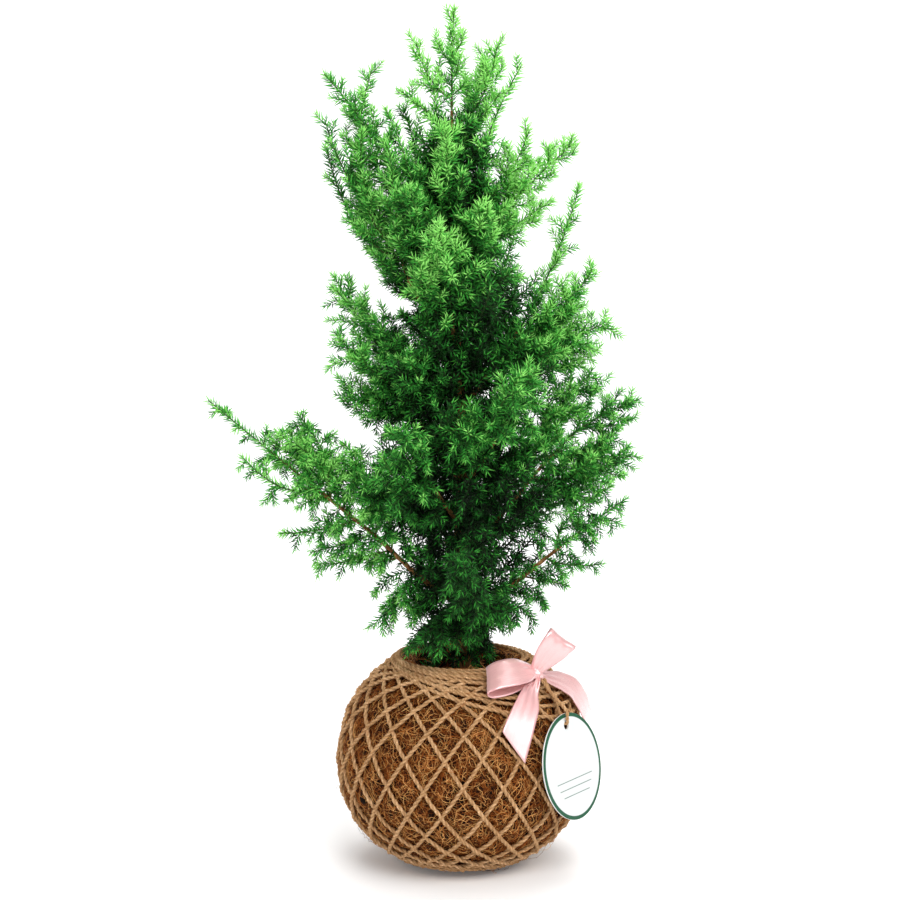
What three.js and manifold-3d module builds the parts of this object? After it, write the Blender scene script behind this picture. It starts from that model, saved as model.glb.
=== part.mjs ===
// A kokedama: a small needle-leaved conifer that grows out of a ball of soil. The soil ball sits in a
// cup of coconut coir, the coir is bound with jute twine, and a satin bow and a round card tag are
// tied to the twine at the mouth. Millimetres, +Z up, origin at the centre of the flat spot it rests on.
import * as THREE from 'three';
import { mergeVertices } from 'three/addons/utils/BufferGeometryUtils.js';
import Module from 'manifold-3d';

const wasm = await Module();
wasm.setup();

// ---------------------------------------------------------------- driving dimensions
const fitGap = 0.3; // between neighbouring pieces
const roundSides = 28; // sides of the coir cup and the soil ball

const ball = {
  radius: 58.2, // of the coir at its widest
  centreZ: 50, // height of the widest part
  upperHeight: 55.5,
  lowerHeight: 50.9,
  upperFullness: 2.1, // 2 is an ellipse, more is fuller in the shoulders
  lowerFullness: 2.15,
  mouthAngle: 31, // from the upright axis to the crest of the rim, degrees
  wall: 8, // thickness of the coir
  profileSteps: 10,
};
const soil = { surfaceZ: 89.5, crownRise: 1.6, wallGap: 0.4, holeFloorZ: 74, holeClearance: 0.4 };
const twine = {
  width: 2.4,
  height: 2.1,
  underside: 0.85, // above the coir where strands cross, so that straight strands clear it in between
  loops: 20,
  ringAngle: 35, // polar angle of the ring that every loop touches, top and bottom, degrees
  collarRow: 4, // the row of crossings where the strands have run together into one band
  collarWidth: 5.4, // degrees
  wander: 1.3, // degrees that a crossing strays
};
const ribbon = { thickness: 0.7, rest: 4.3 }; // rest: from the coir to a ribbon that lies on the twine
const knot = { polar: 42, azimuth: -36, lift: 6.4, size: [2.8, 2.9, 3.2] };
const tag = {
  radius: 25,
  thickness: 1,
  holeRadius: 2.1,
  holeDrop: 5.6, // from the tag's top edge to the middle of its hole
  azimuth: -34, // the way the tag faces, degrees
  lean: 11, // its top leans back to the ball, degrees
  shift: -6.4, // its middle lies this far above where it touches the twine
};
const tagString = { radius: 0.9, steps: 25, sides: 8 };
const needle = { length: 5.9, lean: 47, clearance: 0.42 };
const stem = { rootRadius: 0.9, tipRadius: 0.5, step: 6.1 };
const twig = {
  length: [13, 19],
  lean: 40, // from square to its stem towards the tip, degrees
  longStem: 48, // a stem longer than this has one twig more
  first: 0.16, // how far along the stem the first one springs
  span: 0.66, // how much of the stem they are spread over
};
const seed = 4127;

// The trunk's middle line and its radius at each height.
const trunkLine = [
  [0, 0, 74.3, 3.8], [0, 0, 93, 4.1], [0.6, 0, 104, 3.7], [0, 1, 128, 3.2], [-1, 0, 162, 2.9],
  [0, -1, 200, 2.6], [-2, 0, 240, 2.2], [-3.5, 1, 279, 1.9], [-4.4, 0, 314, 1.6], [-5, 0, 342, 1.3],
  [-5, 0, 360, 1.1],
];
const trunkSides = 7;

// Woody limbs: the height where each leaves the trunk, then the points it passes.
const limbLines = {
  left_low: [124, [-20, -6, 140], [-43, -9, 162], [-75, -13, 189]],
  left_mid: [206, [-14, 2, 220], [-27, 3, 234]],
  left_high: [256, [-17, -3, 268], [-27, -4, 287], [-28, -3, 306]],
  right_low: [116, [18, -5, 131], [34, -8, 145], [47, -10, 156]],
  right_mid: [142, [14, 4, 162], [34, 6, 187], [48, 7, 202]],
  right_high: [220, [13, 3, 237], [26, 5, 256]],
  right_top: [290, [8, -3, 301], [16, -4, 310]],
  front_low: [120, [3, -15, 130], [2, -27, 139]],
  front_left: [164, [-8, -14, 176], [-14, -24, 187]],
  front_right: [184, [9, -14, 196], [15, -24, 208]],
  front_high: [242, [-4, -11, 254], [-5, -19, 266]],
  back_low: [130, [-5, 17, 142], [-8, 29, 152]],
  back_right: [154, [11, 15, 168], [19, 25, 180]],
  back_left: [184, [-11, 13, 197], [-19, 23, 210]],
  back_mid: [226, [5, 13, 239], [9, 22, 251]],
  back_high: [266, [-4, 10, 278], [-7, 17, 289]],
};
const limb = { rootRadius: 1.75, tipRadius: 1.1, sides: 5, step: 22 };

// Leafy sprays: the limb, how far along it the spray springs (1 is its end), and where its tip is.
const sprayLines = [
  ['trunk', 1, [-4, 0, 409]], ['trunk', 0.94, [-22, -5, 394]], ['trunk', 0.92, [16, -4, 393]],
  ['trunk', 0.86, [-31, -9, 371]], ['trunk', 0.83, [32, -9, 354]], ['trunk', 0.88, [3, 27, 378]],
  ['trunk', 0.8, [-8, -30, 354]], ['trunk', 0.78, [-22, 22, 346]], ['trunk', 0.72, [12, -34, 318]],
  ['left_high', 1, [-66, -6, 379]], ['left_high', 0.84, [-41, 5, 383]], ['left_high', 0.73, [-64, 4, 346]],
  ['left_high', 0.45, [-53, 9, 312]], ['left_high', 0.56, [-26, -30, 326]],
  ['left_mid', 1, [-62, 5, 285]], ['left_mid', 0.8, [-62, -10, 260]], ['left_mid', 0.55, [-60, 2, 232]],
  ['left_mid', 0.35, [-31, -29, 250]],
  ['left_low', 1, [-121, -16, 228]], ['left_low', 0.93, [-110, -22, 201]], ['left_low', 0.84, [-80, -6, 221]],
  ['left_low', 0.68, [-92, -12, 160]], ['left_low', 0.56, [-58, -14, 208]],
  ['left_low', 0.46, [-75, -4, 143]], ['left_low', 0.26, [-38, -14, 116]],
  ['right_low', 1, [80, -8, 180]], ['right_low', 0.84, [69, -16, 149]], ['right_low', 0.62, [53, -2, 135]],
  ['right_low', 0.38, [40, -16, 116]],
  ['right_mid', 1, [87, 6, 225]], ['right_mid', 0.86, [67, 12, 237]], ['right_mid', 0.72, [83, 0, 200]],
  ['right_mid', 0.46, [62, 26, 176]],
  ['right_high', 1, [56, 6, 328]], ['right_high', 0.8, [70, -2, 263]], ['right_high', 0.5, [46, -18, 252]],
  ['right_top', 1, [55, -6, 348]], ['right_top', 0.7, [29, 4, 383]], ['right_top', 0.45, [49, 8, 322]],
  ['front_low', 1, [-2, -72, 160]], ['front_low', 0.8, [26, -48, 132]], ['front_low', 0.6, [-22, -46, 116]],
  ['front_left', 1, [-30, -62, 220]], ['front_left', 0.65, [-47, -33, 190]],
  ['front_right', 1, [30, -60, 246]], ['front_right', 0.65, [50, -34, 216]],
  ['front_right', 0.82, [2, -58, 218]], ['front_high', 1, [-12, -46, 312]],
  ['back_low', 1, [-16, 74, 178]], ['back_right', 1, [46, 60, 212]], ['back_left', 1, [-44, 54, 256]],
  ['back_mid', 1, [26, 50, 300]], ['back_high', 1, [-14, 42, 338]],
];

// ---------------------------------------------------------------- small helpers
const radians = THREE.MathUtils.degToRad;
const vec = (x, y, z) => new THREE.Vector3(x, y, z);

// Seeded draws between 0 and 1.
function makeDraw(start) {
  let state = start >>> 0;
  return () => {
    state = (state + 0x6d2b79f5) >>> 0;
    let mixed = Math.imul(state ^ (state >>> 15), 1 | state);
    mixed = (mixed + Math.imul(mixed ^ (mixed >>> 7), 61 | mixed)) ^ mixed;
    return ((mixed ^ (mixed >>> 14)) >>> 0) / 4294967296;
  };
}

function geometryFrom(points, faces) {
  const geometry = new THREE.BufferGeometry();
  const numbers = points.flatMap((point) => point.toArray());
  geometry.setAttribute('position', new THREE.Float32BufferAttribute(numbers, 3));
  geometry.setIndex(faces.flat());
  return geometry;
}

function solidFrom(geometry) {
  const bare = geometry.clone();
  bare.deleteAttribute('normal');
  bare.deleteAttribute('uv');
  const merged = mergeVertices(bare, 1e-4);
  return new wasm.Manifold(new wasm.Mesh({
    numProp: 3,
    vertProperties: new Float32Array(merged.attributes.position.array),
    triVerts: new Uint32Array(merged.index.array),
  }));
}

function geometryOf(solid) {
  const mesh = solid.getMesh();
  const geometry = new THREE.BufferGeometry();
  geometry.setAttribute('position', new THREE.BufferAttribute(mesh.vertProperties, 3));
  geometry.setIndex(new THREE.BufferAttribute(mesh.triVerts, 1));
  return geometry;
}

// Joins overlapping shapes into one body and drops any loose scrap.
function fuse(geometries) {
  const joined = geometries.map(solidFrom).reduce((all, next) => all.add(next));
  const bodies = joined.decompose();
  return geometryOf(bodies.reduce((most, next) => (next.volume() > most.volume() ? next : most)));
}

function meshOf(name, geometry, colour, roughness) {
  const material = new THREE.MeshStandardMaterial({ color: colour, roughness, metalness: 0 });
  geometry.computeVertexNormals();
  const mesh = new THREE.Mesh(geometry, material);
  mesh.name = name;
  return mesh;
}

// Joins rings of points, each with the same count and turned the same way, into one closed skin.
function skin(rings, joined = false) {
  const count = rings[0].length;
  const faces = [];
  const spans = joined ? rings.length : rings.length - 1;
  for (let i = 0; i < spans; i += 1) {
    const low = i * count;
    const high = ((i + 1) % rings.length) * count;
    for (let k = 0; k < count; k += 1) {
      const next = (k + 1) % count;
      faces.push([low + k, low + next, high + next], [low + k, high + next, high + k]);
    }
  }
  if (!joined) {
    const last = (rings.length - 1) * count;
    for (let k = 1; k < count - 1; k += 1) {
      faces.push([0, k + 1, k], [last, last + k, last + k + 1]);
    }
  }
  return geometryFrom(rings.flat(), faces);
}

// A ring of points round a middle, in the plane of two directions.
function ringAround(middle, sideways, upwards, radius, count, turn = 0) {
  return Array.from({ length: count }, (_, k) => {
    const angle = turn + (2 * Math.PI * k) / count;
    return middle.clone()
      .addScaledVector(sideways, radius * Math.cos(angle))
      .addScaledVector(upwards, radius * Math.sin(angle));
  });
}

// Two directions square to a line's own direction, with sideways × upwards pointing along it.
function squareTo(direction) {
  const helper = Math.abs(direction.z) < 0.9 ? vec(0, 0, 1) : vec(0, 1, 0);
  const sideways = helper.clone().cross(direction).normalize();
  return [sideways, direction.clone().cross(sideways).normalize()];
}

// A tapered tube along a curve.
function taperedTube(curve, steps, radiusAt, sides) {
  const rings = [];
  for (let i = 0; i <= steps; i += 1) {
    const along = i / steps;
    const [sideways, upwards] = squareTo(curve.getTangentAt(along));
    rings.push(ringAround(curve.getPointAt(along), sideways, upwards, radiusAt(along), sides));
  }
  return skin(rings);
}

// ---------------------------------------------------------------- the ball
// Distance of the ball's surface from its middle, at a polar angle from the top; grow moves it outwards.
function ballReach(polar, grow = 0) {
  const upper = Math.cos(polar) > 0;
  const height = (upper ? ball.upperHeight : ball.lowerHeight) + grow;
  const fullness = upper ? ball.upperFullness : ball.lowerFullness;
  const across = (Math.abs(Math.sin(polar)) / (ball.radius + grow)) ** fullness;
  const along = (Math.abs(Math.cos(polar)) / height) ** fullness;
  return (across + along) ** (-1 / fullness);
}

function onBall(polar, azimuth, grow) {
  const reach = ballReach(polar, grow);
  return vec(
    reach * Math.sin(polar) * Math.cos(azimuth),
    reach * Math.sin(polar) * Math.sin(azimuth),
    ball.centreZ + reach * Math.cos(polar),
  );
}

// A point of the ball's outline as a lathe takes it: distance from the axis, and height.
function profilePoint(polar, grow) {
  const point = onBall(polar, 0, grow);
  return new THREE.Vector2(polar === Math.PI ? 0 : point.x, point.z);
}

function outline(fromPolar, toPolar, grow, steps) {
  return Array.from({ length: steps + 1 }, (_, i) => (
    profilePoint(THREE.MathUtils.lerp(fromPolar, toPolar, i / steps), grow)));
}

// A lathe about the upright axis.
function turned(profile) {
  const geometry = new THREE.LatheGeometry(profile, roundSides);
  geometry.rotateX(Math.PI / 2);
  return geometry;
}

// The polar angles at which the cup's inner wall has its corners, from its top down to the axis.
const innerPolars = Array.from({ length: ball.profileSteps - 2 }, (_, i) => (
  THREE.MathUtils.lerp(radians(ball.mouthAngle + 2), Math.PI, i / (ball.profileSteps - 3))));

function coirShell() {
  const flatRatio = (ball.centreZ / ball.lowerHeight) ** ball.lowerFullness;
  const flatRadius = ball.radius * (1 - flatRatio) ** (1 / ball.lowerFullness);
  const flatPolar = Math.PI - Math.atan2(flatRadius, ball.centreZ);
  const mouth = radians(ball.mouthAngle);
  const crest = profilePoint(mouth, 0);
  const innerWall = innerPolars.map((polar) => profilePoint(polar, -ball.wall));
  const innerTop = innerWall[0];
  return turned([
    new THREE.Vector2(0, 0),
    ...outline(flatPolar, mouth, 0, ball.profileSteps),
    new THREE.Vector2(crest.x - 1.8, crest.y + 0.3),
    new THREE.Vector2(crest.x - 3.2, crest.y - 1.4),
    new THREE.Vector2(innerTop.x - 0.4, innerTop.y + 2),
    ...innerWall,
  ]);
}

// The root ball: it fills the cup, its top is slightly crowned and has a plain hole for the trunk.
function soilCore() {
  const wall = innerPolars.map((polar) => profilePoint(polar, -ball.wall - soil.wallGap)).reverse();
  const side = wall.filter((point) => point.y < soil.surfaceZ);
  const [below, above] = [side[side.length - 1], wall[side.length]];
  const share = (soil.surfaceZ - below.y) / (above.y - below.y);
  const edge = below.clone().lerp(above, share);
  const holeRadius = trunkLine[1][3] + soil.holeClearance;
  const crown = (reach) => new THREE.Vector2(
    reach,
    soil.surfaceZ + soil.crownRise * (1 - (reach / edge.x) ** 2),
  );
  return turned([
    ...side,
    edge,
    crown(edge.x * 0.7),
    crown(edge.x * 0.4),
    crown(holeRadius),
    new THREE.Vector2(holeRadius, soil.holeFloorZ),
    new THREE.Vector2(0, soil.holeFloorZ),
  ]);
}

// ---------------------------------------------------------------- the twine
// The loops of twine are great circles that touch a ring round the mouth and one under the ball. Two
// neighbours meet in the first row below the ring, the next but one in the second row, and so on.
function crossing(row, index) {
  const ringAngle = radians(twine.ringAngle);
  const slope = Math.cos((Math.PI * row) / twine.loops);
  const polar = Math.atan2(Math.tan(ringAngle), slope);
  const azimuth = (2 * Math.PI * (index + row / 2)) / twine.loops;
  return { polar, azimuth };
}

// How far a strand between two rows leans from upright, in radians.
function strandLean(row, nextRow) {
  const [one, other] = [crossing(row, 0), crossing(nextRow, 0)];
  const middlePolar = (one.polar + other.polar) / 2;
  return Math.atan2(Math.sin(middlePolar) * Math.PI / twine.loops, Math.abs(other.polar - one.polar));
}

// A crossing: its crest, and the four corners between its strands on the side of the coir.
function knotOfTwine(row, index, draw) {
  const { polar, azimuth } = crossing(row, index);
  const isCollar = row === twine.collarRow || row === twine.loops - twine.collarRow;
  const wander = isCollar ? 0 : twine.wander;
  const atPolar = polar + radians(wander) * (draw() - 0.5);
  const atAzimuth = azimuth + radians(wander) * (draw() - 0.5);
  const half = twine.width / 2 / ball.radius;
  const above = half / Math.sin(strandLean(row, Math.max(row - 1, 0)));
  const below = half / Math.sin(strandLean(row, Math.min(row + 1, twine.loops)));
  const aside = half / Math.cos(strandLean(row - 0.5, row + 0.5)) / Math.sin(polar);
  const corner = (down, right) => onBall(atPolar + down, atAzimuth + right, twine.underside);
  return {
    crest: onBall(atPolar, atAzimuth, twine.underside + twine.height),
    up: corner(-above, 0),
    down: corner(below, 0),
    left: corner(0, -aside),
    right: corner(0, aside),
  };
}

// The band where all loops run together: its far edge at one place on the ring.
function collarEdge(row, index) {
  const { polar, azimuth } = crossing(row, index);
  const away = row === twine.collarRow ? -1 : 1;
  const edge = polar + away * radians(twine.collarWidth);
  return {
    crest: onBall(edge, azimuth, twine.underside + twine.height),
    foot: onBall(edge + away * 0.5 * twine.width / ball.radius, azimuth, twine.underside),
  };
}

function twineNet() {
  const draw = makeDraw(seed);
  const points = [];
  const faces = [];
  const numbered = (place) => Object.fromEntries(
    Object.entries(place).map(([key, point]) => [key, points.push(point) - 1]));
  const firstRow = twine.collarRow;
  const lastRow = twine.loops - twine.collarRow;
  const quad = (a, b, c, d) => faces.push([a, b, c], [a, c, d]);
  const rows = {};
  for (let row = firstRow; row <= lastRow; row += 1) {
    rows[row] = Array.from({ length: twine.loops }, (_, j) => numbered(knotOfTwine(row, j, draw)));
  }
  for (let row = firstRow; row < lastRow; row += 1) {
    for (let j = 0; j < twine.loops; j += 1) {
      const top = rows[row][j];
      const right = rows[row + 1][j];
      const left = rows[row + 1][(j + twine.loops - 1) % twine.loops];
      quad(top.crest, right.crest, right.up, top.right);
      quad(top.crest, top.down, right.left, right.crest);
      quad(top.right, right.up, right.left, top.down);
      quad(top.crest, top.left, left.up, left.crest);
      quad(top.crest, left.crest, left.right, top.down);
      quad(top.left, top.down, left.right, left.up);
      if (row > firstRow) quad(top.up, top.right, top.down, top.left);
    }
  }
  for (const row of [firstRow, lastRow]) {
    const edges = Array.from({ length: twine.loops }, (_, j) => numbered(collarEdge(row, j)));
    const inwards = row === firstRow;
    const face = (...corners) => quad(...(inwards ? corners : corners.reverse()));
    for (let j = 0; j < twine.loops; j += 1) {
      const next = (j + 1) % twine.loops;
      const [here, there] = [rows[row][j], rows[row][next]];
      face(edges[j].crest, here.crest, there.crest, edges[next].crest);
      face(edges[j].foot, edges[j].crest, edges[next].crest, edges[next].foot);
      face(here.crest, here.right, there.left, there.crest);
      face(here.right, edges[j].foot, edges[next].foot, there.left);
      const spur = inwards ? here.down : here.up;
      face(edges[j].foot, here.right, spur, here.left);
    }
  }
  return geometryFrom(points, faces);
}

// ---------------------------------------------------------------- the bow
// A strip of ribbon: its middle line, and how its width lies at each point.
function ribbonStrip(stations) {
  const middles = new THREE.CatmullRomCurve3(stations.map((s) => s.at));
  const widths = new THREE.CatmullRomCurve3(stations.map((s) => s.across));
  const steps = (stations.length - 1) * 2;
  const rings = [];
  for (let i = 0; i <= steps; i += 1) {
    const along = i / steps;
    const middle = middles.getPoint(along);
    const half = widths.getPoint(along).multiplyScalar(0.5);
    const normal = middles.getTangent(along).cross(half).normalize().multiplyScalar(ribbon.thickness / 2);
    rings.push([
      middle.clone().add(half).add(normal), middle.clone().sub(half).add(normal),
      middle.clone().sub(half).sub(normal), middle.clone().add(half).sub(normal),
    ]);
  }
  return skin(rings);
}

const knotPlace = onBall(radians(knot.polar), radians(knot.azimuth), knot.lift);

// A station of a strip: an offset from the knot and the direction of the ribbon's width.
const station = (offset, across, width) => ({
  at: knotPlace.clone().add(vec(...offset)),
  across: vec(...across).normalize().multiplyScalar(width),
});

// A station over the ball: its width lies level round the ball and is then turned by some degrees, and
// lift raises it off the place where it would touch the twine.
function overBall(polar, azimuth, lift, width, turn) {
  const at = onBall(radians(polar), radians(azimuth), ribbon.rest + lift);
  const outward = at.clone().sub(vec(0, 0, ball.centreZ)).normalize();
  const level = vec(0, 0, 1).cross(outward).normalize().applyAxisAngle(outward, radians(turn));
  return { at, across: level.multiplyScalar(width) };
}

function ribbonBow() {
  const leftLoop = ribbonStrip([
    station([1, 0.5, 0], [-0.2, 0.5, 1], 5),
    overBall(40.5, -45, 7, 10, 84),
    overBall(40, -54, 9.5, 13.5, 82),
    overBall(40.5, -64, 10.5, 15, 80),
    overBall(41.5, -73, 9, 15, 80),
    overBall(42.5, -78, 5.5, 15, 80),
    overBall(42.5, -75, 2, 15, 82),
    overBall(42, -65, 0.6, 15, 86),
    overBall(41.5, -55, 0.6, 13, 90),
    overBall(41.5, -46, 1.2, 9, 90),
    station([1, 0.5, -0.6], [-0.2, 0.5, 1], 5),
  ]);
  const rightLoop = ribbonStrip([
    station([-1, -0.6, -0.5], [1, 0.4, -0.5], 5),
    station([3.6, -2, 6.5], [1, 0.4, -0.6], 11.5),
    station([8, -2.6, 12.2], [1, 0.4, -0.75], 15),
    station([11.4, -1.2, 15.8], [1, 0.4, -0.8], 15),
    station([12.4, 1.6, 16.6], [1, 0.4, -0.8], 15),
    station([10.8, 3.8, 14.6], [1, 0.4, -0.8], 15),
    station([7, 4, 10.2], [1, 0.4, -0.7], 13),
    station([2.8, 2, 4.4], [1, 0.4, -0.55], 8),
    station([-1, -0.6, -0.5], [1, 0.4, -0.5], 5),
  ]);
  const frontTail = ribbonStrip([
    station([0, -0.8, 0], [1, -0.7, 0], 4.5),
    overBall(47.5, -46, 0.6, 8, -12),
    overBall(54, -53, 0, 12, -16),
    overBall(60, -59, 0, 13.5, -19),
    overBall(65.5, -63.2, 0, 14.6, -21),
    overBall(71.6, -66.7, 0, 17.3, -62),
  ]);
  const sideTail = ribbonStrip([
    station([0, 0.6, 0], [0.5, 0.9, 0], 4.5),
    overBall(46, -24, 0.8, 7, -8),
    overBall(51, -14, 0.2, 11, -12),
    overBall(58, -4, 0, 13, -16),
    overBall(65, 3, 0, 14.5, -18),
    overBall(72, 7, 0, 15, -18),
  ]);
  const lump = new THREE.SphereGeometry(1, 12, 8);
  lump.scale(...knot.size);
  lump.rotateZ(radians(knot.azimuth));
  lump.translate(knotPlace.x, knotPlace.y, knotPlace.z);
  return fuse([lump, leftLoop, rightLoop, frontTail, sideTail]);
}

// ---------------------------------------------------------------- the tag and its string
// The tag's own axes: right across its face, up its face, and out of its face. It rests on the twine.
const tagFacing = radians(tag.azimuth);
const tagOut = vec(Math.cos(tagFacing), Math.sin(tagFacing), Math.tan(radians(tag.lean))).normalize();
const tagRight = vec(0, 0, 1).cross(tagOut).normalize();
const tagUp = tagOut.clone().cross(tagRight);
const tagMiddle = vec(0, 0, ball.centreZ)
  .addScaledVector(tagOut, ball.radius + twine.underside + twine.height + fitGap + tag.thickness / 2)
  .addScaledVector(tagUp, tag.shift);
const onTag = (right, up, out) => tagMiddle.clone()
  .addScaledVector(tagRight, right)
  .addScaledVector(tagUp, up)
  .addScaledVector(tagOut, out);

function tagDisc() {
  const outlineShape = new THREE.Shape().absarc(0, 0, tag.radius, 0, 2 * Math.PI);
  const holeUp = tag.radius - tag.holeDrop;
  outlineShape.holes.push(new THREE.Path().absarc(0, holeUp, tag.holeRadius, 0, 2 * Math.PI, true));
  const disc = new THREE.ExtrudeGeometry(outlineShape, {
    depth: tag.thickness,
    bevelEnabled: false,
    curveSegments: 14,
  });
  disc.translate(0, 0, -tag.thickness / 2);
  disc.applyMatrix4(new THREE.Matrix4().makeBasis(tagRight, tagUp, tagOut).setPosition(tagMiddle));
  return disc;
}

// The string leaves the underside of the knot, runs over the tag's top edge, through its hole and back up.
function tagStringRoute() {
  const bendUp = tag.radius - tag.holeDrop + tag.holeRadius - tagString.radius - fitGap;
  const aside = tag.thickness / 2 + tagString.radius + fitGap;
  const strand = (polar, azimuth, lift) => onBall(radians(polar), radians(azimuth), lift);
  return [
    strand(45.4, -36.6, 6.8), strand(50, -36.2, 6.5), strand(54.5, -35.6, 6.9), strand(58.5, -34.8, 7.9),
    onTag(-0.5, bendUp + 5.6, aside + 0.5),
    onTag(-0.4, bendUp + 2.6, aside + 0.1),
    onTag(-0.2, bendUp + 0.5, aside * 0.8),
    onTag(0, bendUp, 0),
    onTag(0.2, bendUp + 0.5, -aside * 0.8),
    onTag(0.4, bendUp + 2.6, -aside - 0.1),
    onTag(0.5, bendUp + 5.4, -aside - 0.9),
    strand(54, -32.4, 4.6), strand(49.5, -32.2, 4.8), strand(45.3, -32.6, 6.4),
  ];
}

function tagStringTube() {
  const section = new THREE.Shape(Array.from({ length: tagString.sides }, (_, k) => {
    const angle = (2 * Math.PI * k) / tagString.sides;
    return new THREE.Vector2(tagString.radius * Math.cos(angle), tagString.radius * Math.sin(angle));
  }));
  const extrudePath = new THREE.CatmullRomCurve3(tagStringRoute());
  return new THREE.ExtrudeGeometry(section, { steps: tagString.steps, extrudePath });
}

// ---------------------------------------------------------------- trunk and limbs
const trunkCurve = new THREE.CatmullRomCurve3(trunkLine.map(([x, y, z]) => vec(x, y, z)));

// The trunk's middle and radius at a height.
function trunkAt(height) {
  const above = Math.max(1, trunkLine.findIndex((point) => point[2] >= height));
  const [low, high] = [trunkLine[above - 1], trunkLine[above]];
  const share = (height - low[2]) / (high[2] - low[2]);
  const mix = (k) => THREE.MathUtils.lerp(low[k], high[k], share);
  return { middle: vec(mix(0), mix(1), height), radius: mix(3) };
}

// Every limb as a curve with a radius at each share of its length.
const trunkRadius = (along) => trunkAt(trunkCurve.getPointAt(along).z).radius;
const limbs = { trunk: { curve: trunkCurve, radiusAt: trunkRadius } };
for (const [name, [height, ...points]] of Object.entries(limbLines)) {
  const route = [trunkAt(height).middle, ...points.map((p) => vec(...p))];
  limbs[name] = {
    curve: new THREE.CatmullRomCurve3(route),
    radiusAt: (along) => THREE.MathUtils.lerp(limb.rootRadius, limb.tipRadius, along),
  };
}

function trunkAndLimbs() {
  const trunkRings = trunkLine.map(([x, y, z, radius]) => (
    ringAround(vec(x, y, z), vec(1, 0, 0), vec(0, 1, 0), radius, trunkSides)));
  const parts = [skin(trunkRings)];
  for (const name of Object.keys(limbLines)) {
    const { curve, radiusAt } = limbs[name];
    const steps = Math.max(3, Math.round(curve.getLength() / limb.step));
    parts.push(taperedTube(curve, steps, radiusAt, limb.sides));
  }
  return fuse(parts);
}

// ---------------------------------------------------------------- leafy sprays
// Round-ended rods that stand for stems and needles when a new one looks for free room.
const rods = [];

function closestGap(p1, q1, p2, q2) {
  const d1 = q1.clone().sub(p1);
  const d2 = q2.clone().sub(p2);
  const r = p1.clone().sub(p2);
  const a = d1.dot(d1);
  const e = d2.dot(d2);
  const f = d2.dot(r);
  const c = d1.dot(r);
  const b = d1.dot(d2);
  const denominator = a * e - b * b;
  let s = denominator > 1e-9 ? THREE.MathUtils.clamp((b * f - c * e) / denominator, 0, 1) : 0;
  let t = (b * s + f) / e;
  if (t < 0) {
    t = 0;
    s = THREE.MathUtils.clamp(-c / a, 0, 1);
  } else if (t > 1) {
    t = 1;
    s = THREE.MathUtils.clamp((b - c) / a, 0, 1);
  }
  return p1.clone().addScaledVector(d1, s).distanceTo(p2.clone().addScaledVector(d2, t));
}

// True where a rod keeps its distance from every rod of the other nodes.
function isClear(owner, from, to, radius, extra) {
  const middle = from.clone().add(to).multiplyScalar(0.5);
  const reach = from.distanceTo(to) / 2 + radius + extra;
  return rods.every((rod) => rod.owner === owner
    || rod.middle.distanceTo(middle) > rod.reach + reach
    || closestGap(from, to, rod.from, rod.to) > rod.radius + radius + extra);
}

function addRod(owner, from, to, radius) {
  const middle = from.clone().add(to).multiplyScalar(0.5);
  rods.push({ owner, from, to, radius, middle, reach: from.distanceTo(to) / 2 + radius });
}

// The middle line of a spray's own stem: it springs from the limb and bends towards its tip.
function stemCurve([limbName, along, tip]) {
  const { curve, radiusAt } = limbs[limbName];
  const target = vec(...tip);
  const root = curve.getPointAt(along);
  const limbWay = curve.getTangentAt(along);
  const chord = target.clone().sub(root);
  const reach = chord.length();
  if (along === 1) {
    const start = root.clone().addScaledVector(limbWay, fitGap);
    const bend = start.clone().addScaledVector(limbWay, reach * 0.4);
    return new THREE.QuadraticBezierCurve3(start, bend, target);
  }
  const outward = chord.clone().addScaledVector(limbWay, -chord.dot(limbWay)).normalize();
  const first = outward.clone().multiplyScalar(0.85).addScaledVector(limbWay, 0.5).normalize();
  const tilt = Math.abs(first.dot(limbWay));
  const standOff = (radiusAt(along) + fitGap + stem.rootRadius * tilt) / outward.dot(first);
  const start = root.clone().addScaledVector(first, standOff);
  const bend = start.clone().addScaledVector(first, reach * 0.45);
  return new THREE.QuadraticBezierCurve3(start, bend, target);
}

// The points along a stem or twig, a step apart.
function walk(curve, step) {
  const steps = Math.max(2, Math.round(curve.getLength() / step));
  return curve.getSpacedPoints(steps);
}

// The side twigs of a spray: where they spring, which way round the stem, and how long they are.
function planTwigs(index, line) {
  const draw = makeDraw(seed + index * 31);
  const stemLength = line.length * stem.step;
  const count = stemLength > twig.longStem ? 4 : 3;
  const spin = draw() * 2 * Math.PI;
  return Array.from({ length: count }, (_, k) => {
    const share = twig.first + (twig.span * (k + 0.5 * draw())) / count;
    return {
      at: Math.min(line.length - 2, Math.max(1, Math.round(share * (line.length - 1)))),
      azimuth: spin + k * 2.4 + 0.6 * draw(),
      length: THREE.MathUtils.lerp(...twig.length, draw()) * (1.15 - 0.5 * share),
    };
  });
}

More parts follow.
